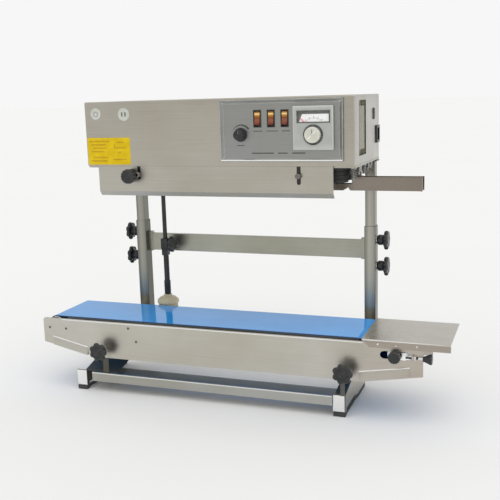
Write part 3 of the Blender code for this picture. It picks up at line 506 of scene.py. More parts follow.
def build_stand():
    # Level darkens each post as painted shade, the left post more.
    for side, way, level in (("left", -1, 0.70), ("right", 1, 0.84)):
        build_bracket(side)
        for name in (f"lower_post_{side}", f"upper_post_{side}"):
            keep(post_material(name, side, level), 0.0008, name)
        star_knob(f"front_knob_{side}", "Y", -1)
        for place in ("upper", "lower"):
            star_knob(f"post_knob_{side}_{place}", "X", way)
    for name in ("side_plate_front", "side_plate_rear"):
        keep(plate_material(NODES[name].matrix_world.translation.x), 0.0004, name)
    build_bright_edges()
    build_fasteners()


def tinted(made, change):
    """Puts change(tree, old colour) in front of a material's colour."""
    tree = made.node_tree
    socket = tree.nodes["Principled BSDF"].inputs["Base Color"]
    tree.links.new(change(tree, socket.links[0].from_socket), socket)
    return made


def plate_material(origin):
    """Side plate steel, a little warmer and darker towards the infeed end."""
    def warmer(tree, base):
        way = position(tree, "X", mm(170) - origin, mm(371) - origin)
        tint = ramp(tree, way, (1.0, 1.0, 1.0), (0.93, 0.87, 0.85), 0.0, 1.0)
        return mixed(tree, 1.0, base, tint, "MULTIPLY")

    return tinted(sheet_metal("stainless_plate", (0.545, 0.53, 0.485), "X", 0.36), warmer)


def post_material(node, side, level):
    """Tube steel with painted light: a painted highlight near the middle of its front face, painted shade on
    its deep side, and level as overall painted shade.
    """
    made, tree, shader = new_material(f"{node}_steel", 0.3, 1.0)
    way = 1 if side == "left" else -1
    middle = axis_point(f"post_knob_{side}_upper_turn").x + way * KNOB_TO_POST
    middle -= NODES[node].matrix_world.translation.x
    across = position(tree, "X", middle - POST_HALF, middle + POST_HALF)
    grey = Vector((0.47, 0.465, 0.405)) * level
    shades = [(at, grey * share) for at, share in ((0.22, 0.8), (0.42, 1.1), (0.7, 0.95), (0.9, 0.75))]
    tone = ramp(tree, across, grey * 0.5, grey * 0.40, 0.0, 1.0, shades)
    streaks = pattern(tree, (ACROSS_GRAIN, ACROSS_GRAIN, ALONG_GRAIN), 4.0)
    shade = mixed(tree, 1.0, tone, ramp(tree, streaks, 0.92, 1.06, 0.32, 0.68), "MULTIPLY")
    surface(tree, shader, shade, ramp(tree, streaks, 0.24, 0.38), streaks, 0.06, FINE)
    return made


def build_bracket(side):
    """The folded bracket is dark with painted shade; its front flange is a painted highlight."""
    name = f"base_bracket_{side}"
    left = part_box(name)[0][0] if side == "left" else RIGHT_FLANGE_X
    x = grown((left, left + FLANGE_WIDTH), -0.2)
    piece(f"{name}_flange", block(x, mm(-82, -81.55), mm(9, 41.2)), STEEL_PAINTED_HIGHLIGHT, "stand", edge=0.0002)
    if side == "right":
        plate = prism([mm(y, z) for y, z in BRACKET_SIDE], "X", *mm(228.05, 228.45))
        piece(f"{name}_side", plate, STEEL_PLATE, "stand", edge=0.00015)


BRACKET_SIDE = ((-80.6, 9.2), (-76.3, 9.2), (-72.3, 15), (-12, 16), (19, 9.2), (93, 9.2), (88, 72.8),
                (13.8, 72.8), (-16.2, 59), (-80.6, 42))


def rod_along(start, end, radius):
    """A round bead between two points."""
    start, end = Vector(start), Vector(end)
    way = (end - start).normalized()
    across = way.orthogonal().normalized()
    other = way.cross(across)
    ring = [(across * cos(a) + other * sin(a)) * radius for a in turns(12)]
    return loft([[at + out for out in ring] for at in (start, end)])


def fold(x0, x1, front, top, radius):
    """The rounded outside of a sheet's bend: a quarter round from its top edge down its front."""
    angles = turns(8, pi / 2) + [pi / 2]
    y, z = front + radius, top - radius
    outline = [(y - radius * cos(a), z + radius * sin(a)) for a in angles]
    inner = radius - mm(0.8)
    outline += [(y - inner * cos(a), z + inner * sin(a)) for a in angles[::-1]]
    return prism(outline, "X", x0, x1)


def build_bright_edges():
    """Painted highlights along folds: the plates' top edge and lips, the tray's and bar's front edge;
    painted shade on the tray's flange face.
    """
    front, top = CONVEYOR_FRONT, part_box("side_plate_front")[1][2]
    beads = [fold(mm(-375), mm(262), front - mm(0.4), top + mm(0.3), mm(3.6))]
    for name, left, right, rise in (("infeed_tray", 0.4, 0.2, -0.05), ("base_bar", 0.3, 0.3, 0.2)):
        low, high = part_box(name)
        x0, x1 = low[0] + mm(left), high[0] - mm(right)
        beads.append(fold(x0, x1, low[1] - mm(left), high[2] + mm(rise), mm(2.6)))
    lips = []
    for x_a, z_a, x_b, z_b, drop in (mm(-397, 112, -316, 94.5, 16.5), mm(255, 93.5, 348, 108.6, 17)):
        y = front - mm(0.1)
        beads.append(rod_along((x_a, y, z_a), (x_b, y, z_b), mm(1.5)))
        section = ((0.2, 0), (-3.3, drop), (-2.9, drop), (0.5, 0))
        ends = ((x_a + mm(1), z_a), (x_b - mm(1), z_b))
        lips.append(loft([[(x, front + mm(out), z - down) for out, down in section] for x, z in ends]))
    # Painted highlights: bright beads along the folds.
    piece("painted_highlight_folds", beads, STEEL_PAINTED_HIGHLIGHT, "stand")
    piece("plate_lip_faces", lips, plate_material(0.0), "stand")
    (x0, y, z0), (x1, _, z1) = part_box("infeed_tray")
    outline = [(x0 + mm(15), z0 + mm(0.3)), (x1 - mm(0.3), z0 + mm(0.3)), (x1 - mm(0.3), z1 - mm(1.2)),
               (x0 + mm(1.2), z1 - mm(2.6))]
    # Painted shade: a darker skin over the tray's front flange.
    piece("tray_flange_painted_shade", prism(outline, "Y", *around(y, 0.25, 0.2)), STEEL_SHADED_LIP, "stand")


def screw_heads(places, face, way, radius, height):
    """Screws or rivets at (x, z) places in millimetres, with a rounded and recessed head."""
    profile = [(face - way * mm(0.3), 0.0), (face - way * mm(0.3), radius)]
    profile += [(face + way * height * t, radius * r) for t, r in
                ((0.35, 1), (0.8, 0.78), (1, 0.4), (1, 0.34), (0.5, 0.3), (0.5, 0))]
    return [turned(profile, "Y", mm(*place), 24, ease=radius * 0.08) for place in places]


def build_fasteners():
    tray_low, tray_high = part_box("infeed_tray")
    rivets = screw_heads(TRAY_RIVETS, tray_low[1] - mm(0.25), -1, *mm(2.1, 1.3))
    rivets += screw_heads(((300, 149), (350, 149)), tray_high[1], 1, *mm(2.1, 1.3))
    piece("tray_rivets", rivets, CHROME, "stand")
    screws = screw_heads(FRONT_SCREWS, CONVEYOR_FRONT, -1, *mm(2.7, 1.0))
    screws += screw_heads(REAR_SCREWS, CONVEYOR_REAR, 1, *mm(2.4, 1.4))
    piece("plate_screws", screws, SCREW_STEEL, "stand")


TRAY_RIVETS = ((290.4, 149.4), (323, 147.6), (360.3, 149.4))
FRONT_SCREWS = ((-405, 131), (-366, 130.5), (-219.6, 141), (-203, 114))
REAR_SCREWS = ((-405, 131), (-366, 130.5), (322, 100), (-283, 104), (-283, 126), (250, 104), (250, 126))


def belt_path(wheels, grow, arc_steps=28):
    normals = []
    for (x1, z1, r1), (x2, z2, r2) in zip(wheels, wheels[1:] + wheels[:1]):
        dx, dz = x2 - x1, z2 - z1
        normals.append(atan2(dz, dx) + acos((r1 - r2) / sqrt(dx * dx + dz * dz)))
    path = []
    for i, (x, z, radius) in enumerate(wheels):
        start, end = normals[i - 1], normals[i]
        while start < end:
            start += 2 * pi
        steps = max(3, int(arc_steps * (start - end) / pi))
        for k in range(steps + 1):
            angle = start + (end - start) * k / steps
            path.append((x + (radius + grow) * cos(angle), z + (radius + grow) * sin(angle)))
    return path


def build_belt():
    nose, tension = axis_point("nose_roller_spin"), axis_point("tension_roller_spin")
    low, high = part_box("conveyor_belt")
    bed_end = (BED_END_X, high[2] - mm(6.3), mm(4))
    wheels = [(nose.x, nose.z, NOSE_RADIUS), bed_end, (tension.x, tension.z, TENSION_RADIUS)]
    inside, outside, edge = mm(0.32, 2.3, 0.35)
    section = []
    for y, way in ((low[1], 1), (high[1], -1)):
        inner = y + way * edge
        section += [(inner, inside), (y, inside + edge), (y, outside - edge), (inner, outside)][::way]
    rings = [[Vector((u, y, v)) for u, v in belt_path(wheels, grow)] for y, grow in section]
    piece("belt_loop", loft(rings, loop=True), BELT, "stand", ("conveyor_belt",), "blue_belt")


def build_rollers():
    low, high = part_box("nose_roller")
    hollow = ((0, 3.9), (0, 12), (3, 13), (3, 15), (0, 16), (0, 18))
    profile = along(low[1], 1, (0, 0), (0, 3.9)) + along(DRUM_Y[0], 1, *hollow)
    profile += along(DRUM_Y[1], -1, *hollow[::-1]) + along(high[1], 1, (0, 3.9), (0, 0))
    drum = turned(profile, "Y", hub("nose_roller_spin", "Y"), ease=mm(0.4))
    moving("nose_roller_drum", drum, ALUMINIUM, "nose_roller", "machined_aluminium")
    low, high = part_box("tension_lock_knob")
    stations = shaped(NUT_GRIP, high[1], low[1] - high[1], mm(11.5), mm(0.8))
    grip = lobed("Y", hub("tension_lock_turn", "Y"), stations, 16, 8)
    moving("tension_lock_grip", grip, BLACK, "tension_lock_knob", "black_plastic")
    build_tension_screw()


def build_tension_screw():
    low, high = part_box("tension_screw")
    centre = hub("tension_screw_turn", "X")
    pitch, start, end = mm(1.25), low[0], axis_point("tension_screw_turn").x
    profile, x = [(start, 0.0)], start
    while x < end - pitch:
        profile += [(x, mm(1.62)), (x + pitch * 0.5, mm(1.98))]
        x += pitch
    profile += [(end, mm(1.8)), (end, 0.0)]
    piece("tension_thread", turned(profile, "X", centre, 24), STEEL_DARK, "tension_screw")
    stations = along(end, 1, (-0.4, 5, 0), (0, 5.2, 0), (2.4, 5.3, 0), (5, 6.6, 0.3), (9, 8.4, 0.6),
                     (12, 9.6, 0.7))
    stations += along(high[0], -1, (2, 9.8, 0.7), (0.5, 9.3, 0.5), (0, 8.2, 0), (0.5, 5, 0), (0.5, 0.1, 0))
    grip = lobed("X", centre, stations, 14, 6)
    moving("tension_screw_grip", grip, BLACK, "tension_screw", "black_plastic")
    nut = along(0, 1, (355.7, 0), (355.7, 4.6), (359.6, 4.6), (359.6, 0))
    collar = along(0, 1, (363, 0), (363, 3.2), (371.6, 3.2), (371.6, 0))
    parts = [turned(nut, "X", centre, 6, ease=mm(0.3)), turned(collar, "X", centre, 24, ease=mm(0.4))]
    piece("tension_nut", parts, CHROME, "tension_screw")


# ---------------------------------------------------------------- drive shaft
def build_shafts():
    centre = hub("lower_shaft_spin", "Z")
    low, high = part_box("upper_shaft")
    profile = [(low[2], 0.0), (low[2], ROD_RADIUS), (high[2], ROD_RADIUS), (high[2], 0.0)]
    rod = turned(profile, "Z", centre, ease=mm(0.6))
    moving("upper_rod", rod, STEEL_DARK, "upper_shaft", "dark_steel")
    low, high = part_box("lower_shaft")
    profile = along(low[2], 1, (0, 0), (0, 2.9)) + along(0, 1, (97, 2.9), (97, 5.75), (178, 5.75), (178, 7),
                                                          (206.8, 7), (206.8, 5.75))
    profile += along(high[2], 1, (0, 5.75), (0, 4.95)) + along(0, 1, (102, 4.95), (102, 0))
    tube = turned(profile, "Z", centre, ease=mm(0.35))
    moving("lower_tube", tube, STEEL_DARK, "lower_shaft", "dark_steel")
    for name, z, side in (("upper", mm(277.2, 299.8), 7.7), ("lower", mm(263, 277.2), 6.7)):
        clamp = block(around(centre[0], side), around(centre[1], side + 0.2), z)
        piece(f"shaft_clamp_{name}", clamp, STEEL_DARK, "lower_shaft", edge=0.0009, segments=3)
    build_bevel_gear(centre)
    build_shaft_lock()


def build_shaft_lock():
    """A thick star grip that sits close against its clamp."""
    axis = axis_point("shaft_lock_turn")
    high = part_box("shaft_lock_knob")[1]
    radius = high[2] - axis.z
    stations = shaped(LOCK_GRIP, axis.x, high[0] - axis.x, radius, radius * STAR_HOLLOW)
    grip = lobed("X", (axis.y, axis.z), stations, sharp=1.7)
    moving("shaft_lock_grip", grip, BLACK, "shaft_lock_knob", "black_plastic")


BEVEL_HUB = (
    (24.2, 21), (28.6, 21.2), (29.6, 22.8), (30.4, 23.4), (35.6, 23.4), (36.8, 22.9), (39.6, 19.8),
    (42.4, 16.6), (43.4, 14.4), (44, 10), (48.2, 8.9), (48.8, 8.2), (48.8, 6.3), (48.8, 6.1), (13.2, 6.1)
)


def build_bevel_gear(centre):
    """Sixteen rounded teeth under a wide hub with a chamfered rim, bored for the shaft."""
    apex, teeth, steps, turn = mm(127.5), 16, 128, -pi / 2
    rings = []
    for reach in mm(13.2, 14, 17, 19.6, 20.4):
        ring, length = [], reach * sqrt(2)
        for angle in turns(steps):
            lean = max(-6.0, min(2.8, cos(teeth * angle) * 9.0 - 1.6))
            cone, at = radians(45 + lean), turn + angle
            ring.append(point("Z", apex + length * cos(cone), centre[0] + length * sin(cone) * cos(at),
                              centre[1] + length * sin(cone) * sin(at)))
        rings.append(ring)
    for height, radius in BEVEL_HUB:
        outline = circle(mm(radius), steps, centre, turn)
        rings.append([point("Z", apex + mm(height), u, v) for u, v in outline])
    piece("bevel_gear_body", loft(rings, loop=True), NYLON, "lower_shaft", ("bevel_gear",), "nylon")


# ---------------------------------------------------------------- head
def cover_material(end):
    """The cover's steel, whose end wall and rounded corner are painted paler and cooler than its front as
    painted light.
    """
    def lit_end_tone(tree, front_tone):
        lit_pale = ramp(tree, pattern(tree, (12.0, 12.0, 9.0), 4.0), (0.46, 0.45, 0.41), (0.585, 0.57, 0.535))
        return mixed(tree, position(tree, "X", end - mm(2.4), end - mm(1.2)), front_tone, lit_pale)

    return tinted(sheet_metal("stainless_cover_shell", (0.455, 0.430, 0.375), "X"), lit_end_tone)


def build_housing():
    low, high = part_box("head_housing")
    bm = block(*zip(low, high))
    upright = [e for e in bm.edges if abs(e.verts[0].co.z - e.verts[1].co.z) > 0.01]
    top = [e for e in bm.edges if all(v.co.z > high[2] - NEAR for v in e.verts)]
    bmesh.ops.bevel(bm, geom=upright + top, offset=mm(2.6), segments=5, profile=0.5, affect="EDGES")
    under = [f for f in bm.faces if all(v.co.z < low[2] + NEAR for v in f.verts)]
    bmesh.ops.delete(bm, geom=under, context="FACES")
    end = high[0]
    shell = link("housing_shell", bm, cover_material(end))
    thick = shell.modifiers.new("sheet", "SOLIDIFY")
    thick.thickness = mm(1.5)
    thick.offset = -1.0
    thick.use_even_offset = True
    openings = [block(around(end, 3, 5), VENT_Y, VENT_Z),
                block(mm(12, 221), around(low[1], 4), mm(490, 580)),  # behind the panel
                block(around(end, 5), mm(84.5, 107.5), mm(503.5, 530.5))]  # power inlet
    for x in range(-190, -62, 16):  # louvre slots at the back
        openings.append(block(mm(x, x + 5), around(high[1], 4), mm(505, 560)))
    cut(shell, openings, "head_housing", 28)
    guard_low, guard_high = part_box("front_guard")
    guard_x = (guard_low[0], guard_high[0])
    # Painted shadow: a dark strip on the guard just under the cover's lower edge.
    shadow_strip = block(guard_x, around(guard_low[1], 0.3, -0.06), around(low[2], 1.1, -0.05))
    piece("cover_edge_painted_shadow", shadow_strip, STEEL_SHADED_LIP)
    build_vent(end)
    places = [(x, low[2] / mm(1) + 9) for x in (-268, -130, 100, 238)]
    piece("cover_screws", screw_heads(places, high[1] - mm(1.5), 1, *mm(3, 1.5)), CHROME)


def build_vent(end):
    """The recess in the end wall: its tray, a turned-in flap and the louvre behind it."""
    floor = end - VENT_DEPTH
    outer = rect(VENT_Y, VENT_Z)
    inner = rect(grown(VENT_Y, 0.2), grown(VENT_Z, 0.2))
    tray = tube((end - mm(0.5), outer), (floor, outer), (floor - mm(0.6), inner), (end - mm(0.5), inner))
    back = prism(outer, "X", floor - mm(0.8), floor)
    piece("vent_tray", [tray, back], STEEL_Z)
    louvres, gaps = [], []
    for y in mm(-46, -35, -24, -13):
        outline = [(floor + mm(0.3), y), (end - mm(2.6), y + mm(1.0)), (end - mm(1.8), y + mm(3.2)),
                   (end - mm(2.6), y + mm(3.6)), (floor + mm(0.3), y + mm(4.6))]
        louvres.append(prism(outline, "Z", *mm(496, 574)))
        gaps.append(block(around(floor, 0.1, 0.35), (y + mm(4.8), y + mm(8.2)), mm(497, 573)))
    piece("vent_louvres", louvres, STEEL_Z, edge=0.0004)
    # Painted shadow: dark blocks on the recess's back between the louvres.
    piece("vent_gap_shadows", gaps, VOID)


def tube(*rings):
    """A closed loop of (x, outline) rings."""
    return loft([[point("X", x, u, v) for u, v in outline] for x, outline in rings], loop=True)


def frame_ring(x, z, y, *stations):
    """A rectangular frame round x and z from (inset, depth) stations in millimetres."""
    rings = []
    for inset, depth in stations:
        rings.append([Vector((u, y - mm(depth), v)) for u, v in rect(grown(x, -inset), grown(z, -inset))])
    return loft(rings, loop=True)


# (inset, depth) stations of frames
BEZEL = ((0, 1.9), (0, 3.0), (0.5, 3.6), (1.4, 3.6), (1.9, 3.0), (1.9, -4), (1.4, -4), (1.2, 1.9))
PANEL_RIM = ((0, 0), (0, 3.6), (0.5, 4.4), (1.6, 4.6), (2.6, 4.4), (3.2, 3.8), (7, 2.1), (7, 0))
WINDOW_FRAME = ((-0.5, -3), (-0.5, 0.25), (0, 0.5), (0.6, 0.25), (0.6, -3))


def build_panel():
    low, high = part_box("control_panel")
    x, z, back = (low[0], high[0]), (low[2], high[2]), high[1]
    plate = block(grown(x, -4), (back - mm(2), back), grown(z, -4))
    holes = [block(mm(145.5, 211.5), around(back, 6, 5), mm(504, 571.5))]
    bezels = []
    for cx in ROCKER_X:
        holes.append(block(around(cx, 6.2), around(back, 6, 5), around(ROCKER_Z, 14.6)))
        bezels.append(frame_ring(around(cx, 7.4), around(ROCKER_Z, 15.6), back, *BEZEL))
        bezels.append(block(around(cx, 6), around(back, -4, 5), around(ROCKER_Z, 14.5)))
    cut(link("panel_plate", plate, PANEL), holes, "control_panel")
    piece("panel_rim", frame_ring(x, z, back, *PANEL_RIM), PANEL)
    y, foot = back - mm(3.9), z[0] + mm(2)
    # Painted highlight: a bright bead along the panel's lower edge.
    lower = rod_along((x[0] + mm(1), y, foot), (x[1] - mm(1), y, foot), mm(1.7))
    piece("panel_lower_painted_highlight", lower, STEEL_PAINTED_HIGHLIGHT)
    # Painted highlights: paler lines along the panel rim's edges.
    lines = []
    for cx, h in ((x[0] + mm(1), 4.3), (x[1] - mm(1), 4.3), (x[1] - mm(7), 1.9), (x[0] + mm(7), 1.9)):
        y = back - mm(h)
        lines.append(rod_along((cx, y, z[0] + mm(3)), (cx, y, z[1] - mm(1.5)), mm(0.6)))
    for cz, h in ((z[1] - mm(1), 4.3), (z[1] - mm(7), 1.9)):
        y = back - mm(h)
        lines.append(rod_along((x[0] + mm(1.5), y, cz), (x[1] - mm(1.5), y, cz), mm(0.6)))
    piece("panel_edge_painted_highlights", lines, RIM)
    piece("rocker_bezels", bezels, BLACK)
    build_printing(back - mm(2))
    corners = ((226.6, 584.4), (226.6, 485.4), (7.0, 584.4), (7.0, 485.4))
    piece("panel_screws", screw_heads(corners, back - mm(2.9), -1, *mm(2.2, 1.2)), RIM)


def build_printing(face):
    """Generic marks only: a widening arc, short dashes under the switches and a dashed line below."""
    thin = around(face, 0.12, 0.2)
    speed = axis_point("speed_knob_turn")
    steps, radius = 24, mm(16.6)
    outer, inner = [], []
    for t in (i / steps for i in range(steps + 1)):
        angle = radians(150 - 118 * t)
        for ring, reach in ((outer, radius + mm(0.4 + 3.0 * t)), (inner, mm(16.4))):
            ring.append((speed.x + reach * cos(angle), speed.z + reach * sin(angle)))
    marks = [prism([inner[k], inner[k + 1], outer[k + 1], outer[k]], "Y", *thin) for k in range(steps)]
    piece("speed_arc", marks, BLACK_PRINT)
    piece("panel_dashes", [block(mm(*x), thin, mm(*z)) for x, z in DASHES], GREY_PRINT)


UNDER_SWITCHES, AT_FOOT = (533.1, 534.5), (493.3, 495.4)
DASHES = (((66, 83), UNDER_SWITCHES), ((91, 113), UNDER_SWITCHES), ((120, 135), UNDER_SWITCHES),
          ((34, 48), (507.8, 509.2)), ((62, 104), AT_FOOT), ((112, 130), AT_FOOT), ((138.5, 163), AT_FOOT))


def tick(centre, angle, inner, outer, half, y):
    """A radial mark on a dial that faces -Y."""
    out, across = (cos(angle), sin(angle)), (-sin(angle), cos(angle))
    corners = ((inner, -half), (outer, -half), (outer, half), (inner, half))
    outline = [tuple(centre[k] + out[k] * r + across[k] * w for k in (0, 1)) for r, w in corners]
    return prism(outline, "Y", *y)


def build_controller():
    low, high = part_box("temperature_controller")
    face = low[1]
    front = block((low[0], high[0]), (face, face + mm(5.4)), (low[2], high[2]))
    front = link("controller_front", front, CASE)
    bevel(front, mm(1.3), 3, 30.0)
    x, z = WINDOW_X, WINDOW_Z
    cut(front, [block(x, around(face, 5, 3.4), z)], "temperature_controller")
    case = block(mm(146.2, 210.8), (face + mm(5), high[1]), mm(504.7, 570.8))
    piece("controller_case", case, BLACK, edge=mm(1.5), segments=3, angle=30.0)
    piece("window_frame", frame_ring(x, z, face, *WINDOW_FRAME), GREY_INK)
    right, bottom, top = x[1] - mm(3), z[0] + mm(1.6), z[1] - mm(6)
    scale = [(x[0] + mm(3.2), bottom), (right, bottom), (right, top), (x[0] + mm(9), top)]
    piece("meter_scale", prism(scale, "Y", *around(face, -2.9, 3.3)), DIAL_FACE, edge=0.0002)
    piece("meter_back", prism(rect(x, z), "Y", *around(face, -3.3, 3.5)), GREY_INK)
    build_scale_marks(face + mm(2.9))
    build_needle()
    build_dial()


def build_scale_marks(face):
    centre = hub("meter_needle_swing", "Y")
    marks = []
    for i in range(17):
        outer, half = mm(23.8, 0.32) if i % 4 == 0 else mm(21.8, 0.16)
        angle = radians(131 - i * 5.1)
        marks.append(tick(centre, angle, mm(19.6), outer, half, around(face, 0.08, 0.1)))
    piece("meter_marks", marks, BLACK_PRINT)


def build_needle():
    pivot = axis_point("meter_needle_swing")
    angle = radians(140)
    out, across = Vector((cos(angle), 0.0, sin(angle))), Vector((-sin(angle), 0.0, cos(angle)))
    rings = [[pivot + out * mm(reach) + across * s * mm(half) + Vector((0.0, t * mm(0.25), 0.0))
              for s, t in rect((-1, 1), (-1, 1))]
             for reach, half in ((20.6, 0.62), (26, 0.5), (32.6, 0.3), (33, 0.05))]
    moving("needle_blade", loft(rings), RED, "meter_needle", "red_needle")


def build_dial():
    low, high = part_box("temperature_dial")
    base, face, centre = high[1], low[1], hub("temperature_dial_turn", "Y")
    skirt = along(base, -1, (0, 0), (0, 17.9), (1.4, 17.9), (2.0, 15.2), (2.0, 0))
    skirt = turned(skirt, "Y", centre, 64, ease=mm(0.3))
    moving("dial_skirt", skirt, BLACK, "temperature_dial", "ivory_plastic")
    stations = along(base, -1, (1.9, 14.5, 0.5), (3, 14.6, 0.6))
    stations += along(face, 1, (1.6, 14.1, 0.6), (0.7, 13.7, 0.5), (0.15, 12.9, 0.2), (0, 11.8, 0),
                      (0.25, 10.6, 0), (0.5, 9.8, 0), (0.5, 0.1, 0))
    piece("dial_grip", lobed("Y", centre, stations, 30, 4), IVORY, "temperature_dial")
    mark = block(around(centre[0], 0.5), around(face, -0.38, 0.6), around(centre[1], -3, 9.4))
    piece("dial_mark", mark, BLACK_PRINT, "temperature_dial")
    ticks = [tick(centre, radians(240 - i * 12.5), mm(15.6), mm(16.6 if i % 4 else 17.2), mm(0.22),
                  around(base, 2.08, -1.2)) for i in range(25)]
    piece("dial_ticks", ticks, DIAL_FACE, "temperature_dial")


def build_switches():
    low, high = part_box("speed_knob")
    face, centre = low[1], hub("speed_knob_turn", "Y")
    stations = along(high[1], -1, (0, 12.5, 0), (2.4, 12.5, 0), (3.1, 12, 0), (3.3, 10.7, 0.5),
                     (4, 10.6, 0.6))
    stations += along(face, 1, (1.4, 9.9, 0.6), (0.5, 9.5, 0.4), (0.1, 8.8, 0.1), (0, 8, 0), (0, 0.1, 0))
    moving("speed_grip", lobed("Y", centre, stations, 18, 6), BLACK, "speed_knob", "black_plastic")
    pointer = block(around(centre[0], 0.5), around(face, 0.05, 0.6), around(centre[1], -2, 8))
    piece("speed_pointer", pointer, GREY_INK, "speed_knob")
    for side in ("left", "middle", "right"):
        node = f"rocker_switch_{side}"
        low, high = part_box(node)
        pivot = axis_point(f"rocker_{side}_tilt")
        outline = [(pivot.y + mm(y), pivot.z + mm(z)) for y, z in ROCKER_OUTLINE]
        lens = prism(outline, "X", low[0] + mm(0.1), high[0] - mm(0.1))
        moving(f"{node}_lens", lens, AMBER, node, "amber_plastic", edge=mm(0.9), segments=3, angle=30.0)


ROCKER_OUTLINE = ((-7.7, -11.3), (-6.4, -6.5), (-5.2, -2), (-4.9, 0), (-4.8, 3), (-4.5, 8), (-4.2, 13.0),
                  (2.6, 12), (4.2, 0), (2.6, -12))


def build_inlet():
    low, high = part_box("power_inlet")
    end = high[0]
    y, z = SOCKET_Y, SOCKET_Z
    body = link("inlet_body", block((end - mm(2.7), end), (low[1], high[1]), (low[2], high[2])), BLACK)
    bevel(body, mm(0.7), 3, 30.0)
    cut(body, [block(around(end, 5), y, z)], "power_inlet")
    outer, inner = rect(grown(y, 1.2), grown(z, 1.2)), rect(y, z)
    mouth, floor = end - mm(2.5), end - mm(16)
    well = tube((mouth, outer), (floor, outer), (floor, inner), (mouth, inner))
    back = prism(outer, "X", end - mm(17), end - mm(15.9))
    piece("inlet_well", [well, back], BLACK)
    pins = [block((floor, end - mm(4)), mm(py - 1.0, py + 1.0), mm(pz - 2.2, pz + 2.2))
            for py, pz in ((96, 523.2), (91.4, 514.6), (100.6, 514.6))]
    piece("inlet_pins", pins, CHROME, edge=0.0004)
    build_fuse_holder()


def build_fuse_holder():
    """An upright oval holder with a rounded rim round a paler carrier."""
    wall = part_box("head_housing")[1][0]
    centre, half = mm(62.5, 557), mm(5.2)

    def oval(reach, radius):
        ring = []
        for angle in turns(40):
            end = centre[1] + (half if sin(angle) >= 0 else -half)
            y, z = centre[0] + radius * cos(angle), end + radius * sin(angle)
            ring.append(point("X", wall + reach, y, z))
        return ring

    rim = [oval(*mm(x, r)) for x, r in
           ((-3, 4.6), (0.1, 4.6), (0.1, 5.9), (1.4, 5.9), (1.9, 5.4), (1.9, 4.1), (0.5, 3.7), (-3, 3.7))]
    piece("fuse_rim", loft(rim, loop=True), BLACK)
    carrier = [oval(*mm(x, r)) for x, r in ((-2.8, 3.4), (0.9, 3.4), (1.3, 3.0), (1.3, 0.4))]
    piece("fuse_carrier", loft(carrier), GREY_INK)


def build_labels():
    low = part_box("head_housing")[0]
    face = low[1]
    label = block((low[0] + mm(2.9), mm(-187)), around(face, 0.22, 0.3), LABEL_Z)
    piece("yellow_label", label, YELLOW, edge=mm(0.1), segments=1, angle=30.0)
    side_band = block(around(low[0], 0.2, 0.3), around(face, -2.9, 9), LABEL_Z)
    piece("yellow_label_turn", side_band, YELLOW)
    ink = [block(mm(x0, x1), around(face, 0.3, 0), mm(z0, z1)) for x0, x1, z0, z1 in LABEL_BLOCKS]
    piece("label_blocks", ink, YELLOW_INK)
    for name, cx, cz, radius in (("sticker_left", -258, 571, 11), ("sticker_right", -197.3, 568.8, 12)):
        profile = along(face, -1, (-0.2, 0), (-0.2, radius), (0.2, radius), (0.25, radius - 0.3), (0.25, 0))
        piece(name, turned(profile, "Y", mm(cx, cz), 56), WHITE_FOIL)
    ring = along(face, -1, (0.24, 3.2), (0.34, 3.2), (0.34, 5.6), (0.24, 5.6))
    piece("sticker_left_ring", turned(ring, "Y", mm(-258, 570), 40, loop=True), STICKER_RING)
    bars = [block(mm(x - 1.4, x + 1.4), around(face, 0.34, -0.2), mm(565, 573)) for x in (-201, -194)]
    piece("sticker_right_bars", bars, GREY_INK)


LABEL_BLOCKS = (
    (-277, -232, 516.7, 519.3), (-272, -240, 510.2, 512.8), (-268, -238, 503.7, 506.3),
    (-272, -244, 497.2, 499.8), (-274, -238, 479.2, 481.8), (-268, -236, 485.7, 488.3),
    (-222, -196, 504.5, 506.5), (-222, -219.6, 506, 514), (-216, -200, 515, 517.4),
    (-214, -206, 495.5, 498.5), (-226, -196, 482, 484.4)
)


def build_guard():
    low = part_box("front_guard")[0]
    lugs = [block(mm(x - 8, x + 8), (low[1] + mm(1.5), low[1] + mm(2.3)), mm(z0, 470))
            for x, z0 in ((-172.2, 436), (148.4, 428), (-188, 434))]
    piece("guard_lugs", lugs, STEEL_DARK, edge=0.0002)
    for side in ("left", "right"):
        node = f"guard_screw_{side}"
        axis = axis_point(f"{node}_turn")
        low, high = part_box(node)
        stations = [(high[1], mm(2.7), 0.0)]
        stations += along(axis.y, -1, (0.5, 2.7, 0), (0.5, 5.1, 0.35), (1.2, 5.25, 0.45))
        stations += along(low[1], 1, (2, 5.25, 0.45), (1.2, 5, 0.3), (0.4, 3.9, 0), (0, 2.6, 0), (0, 0.1, 0))
        head = lobed("Y", (axis.x, axis.z), stations, 20, 4)
        moving(f"{node}_head", head, SCREW_STEEL, node, "chrome_screw")
    axis = axis_point("pressure_knob_turn")
    centre = (axis.x, axis.z)
    low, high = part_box("pressure_knob")
    stem = along(high[1], 1, (0, 0), (0, 3.6)) + along(axis.y, -1, (1, 3.6), (1, 0))
    piece("pressure_stem", turned(stem, "Y", centre, 24, ease=mm(0.4)), CHROME, "pressure_knob")
    stations = along(axis.y, -1, (0.6, 7.2, 0), (9.6, 7.4, 0), (10.6, 12.6, 0.8), (11.4, 13.6, 1.1),
                     (13, 14.2, 1.2))
    stations += along(low[1], 1, (2, 14.2, 1.2), (0.8, 13.7, 1), (0.1, 12.4, 0.4), (0, 11.2, 0),
                      (0.8, 9.8, 0), (0.8, 0.1, 0))
    moving("pressure_grip", lobed("Y", centre, stations, 14, 8), BLACK, "pressure_knob", "black_plastic")


def build_sealing():
    for place in ("front", "rear"):
        build_wheel(f"driven_wheel_{place}", mm(441), mm(455), ALUMINIUM, "machined_aluminium")
        build_wheel(f"guide_pulley_{place}", mm(438), mm(466), RUBBER, "pulley_rubber", 3)
    build_plate_hardware()


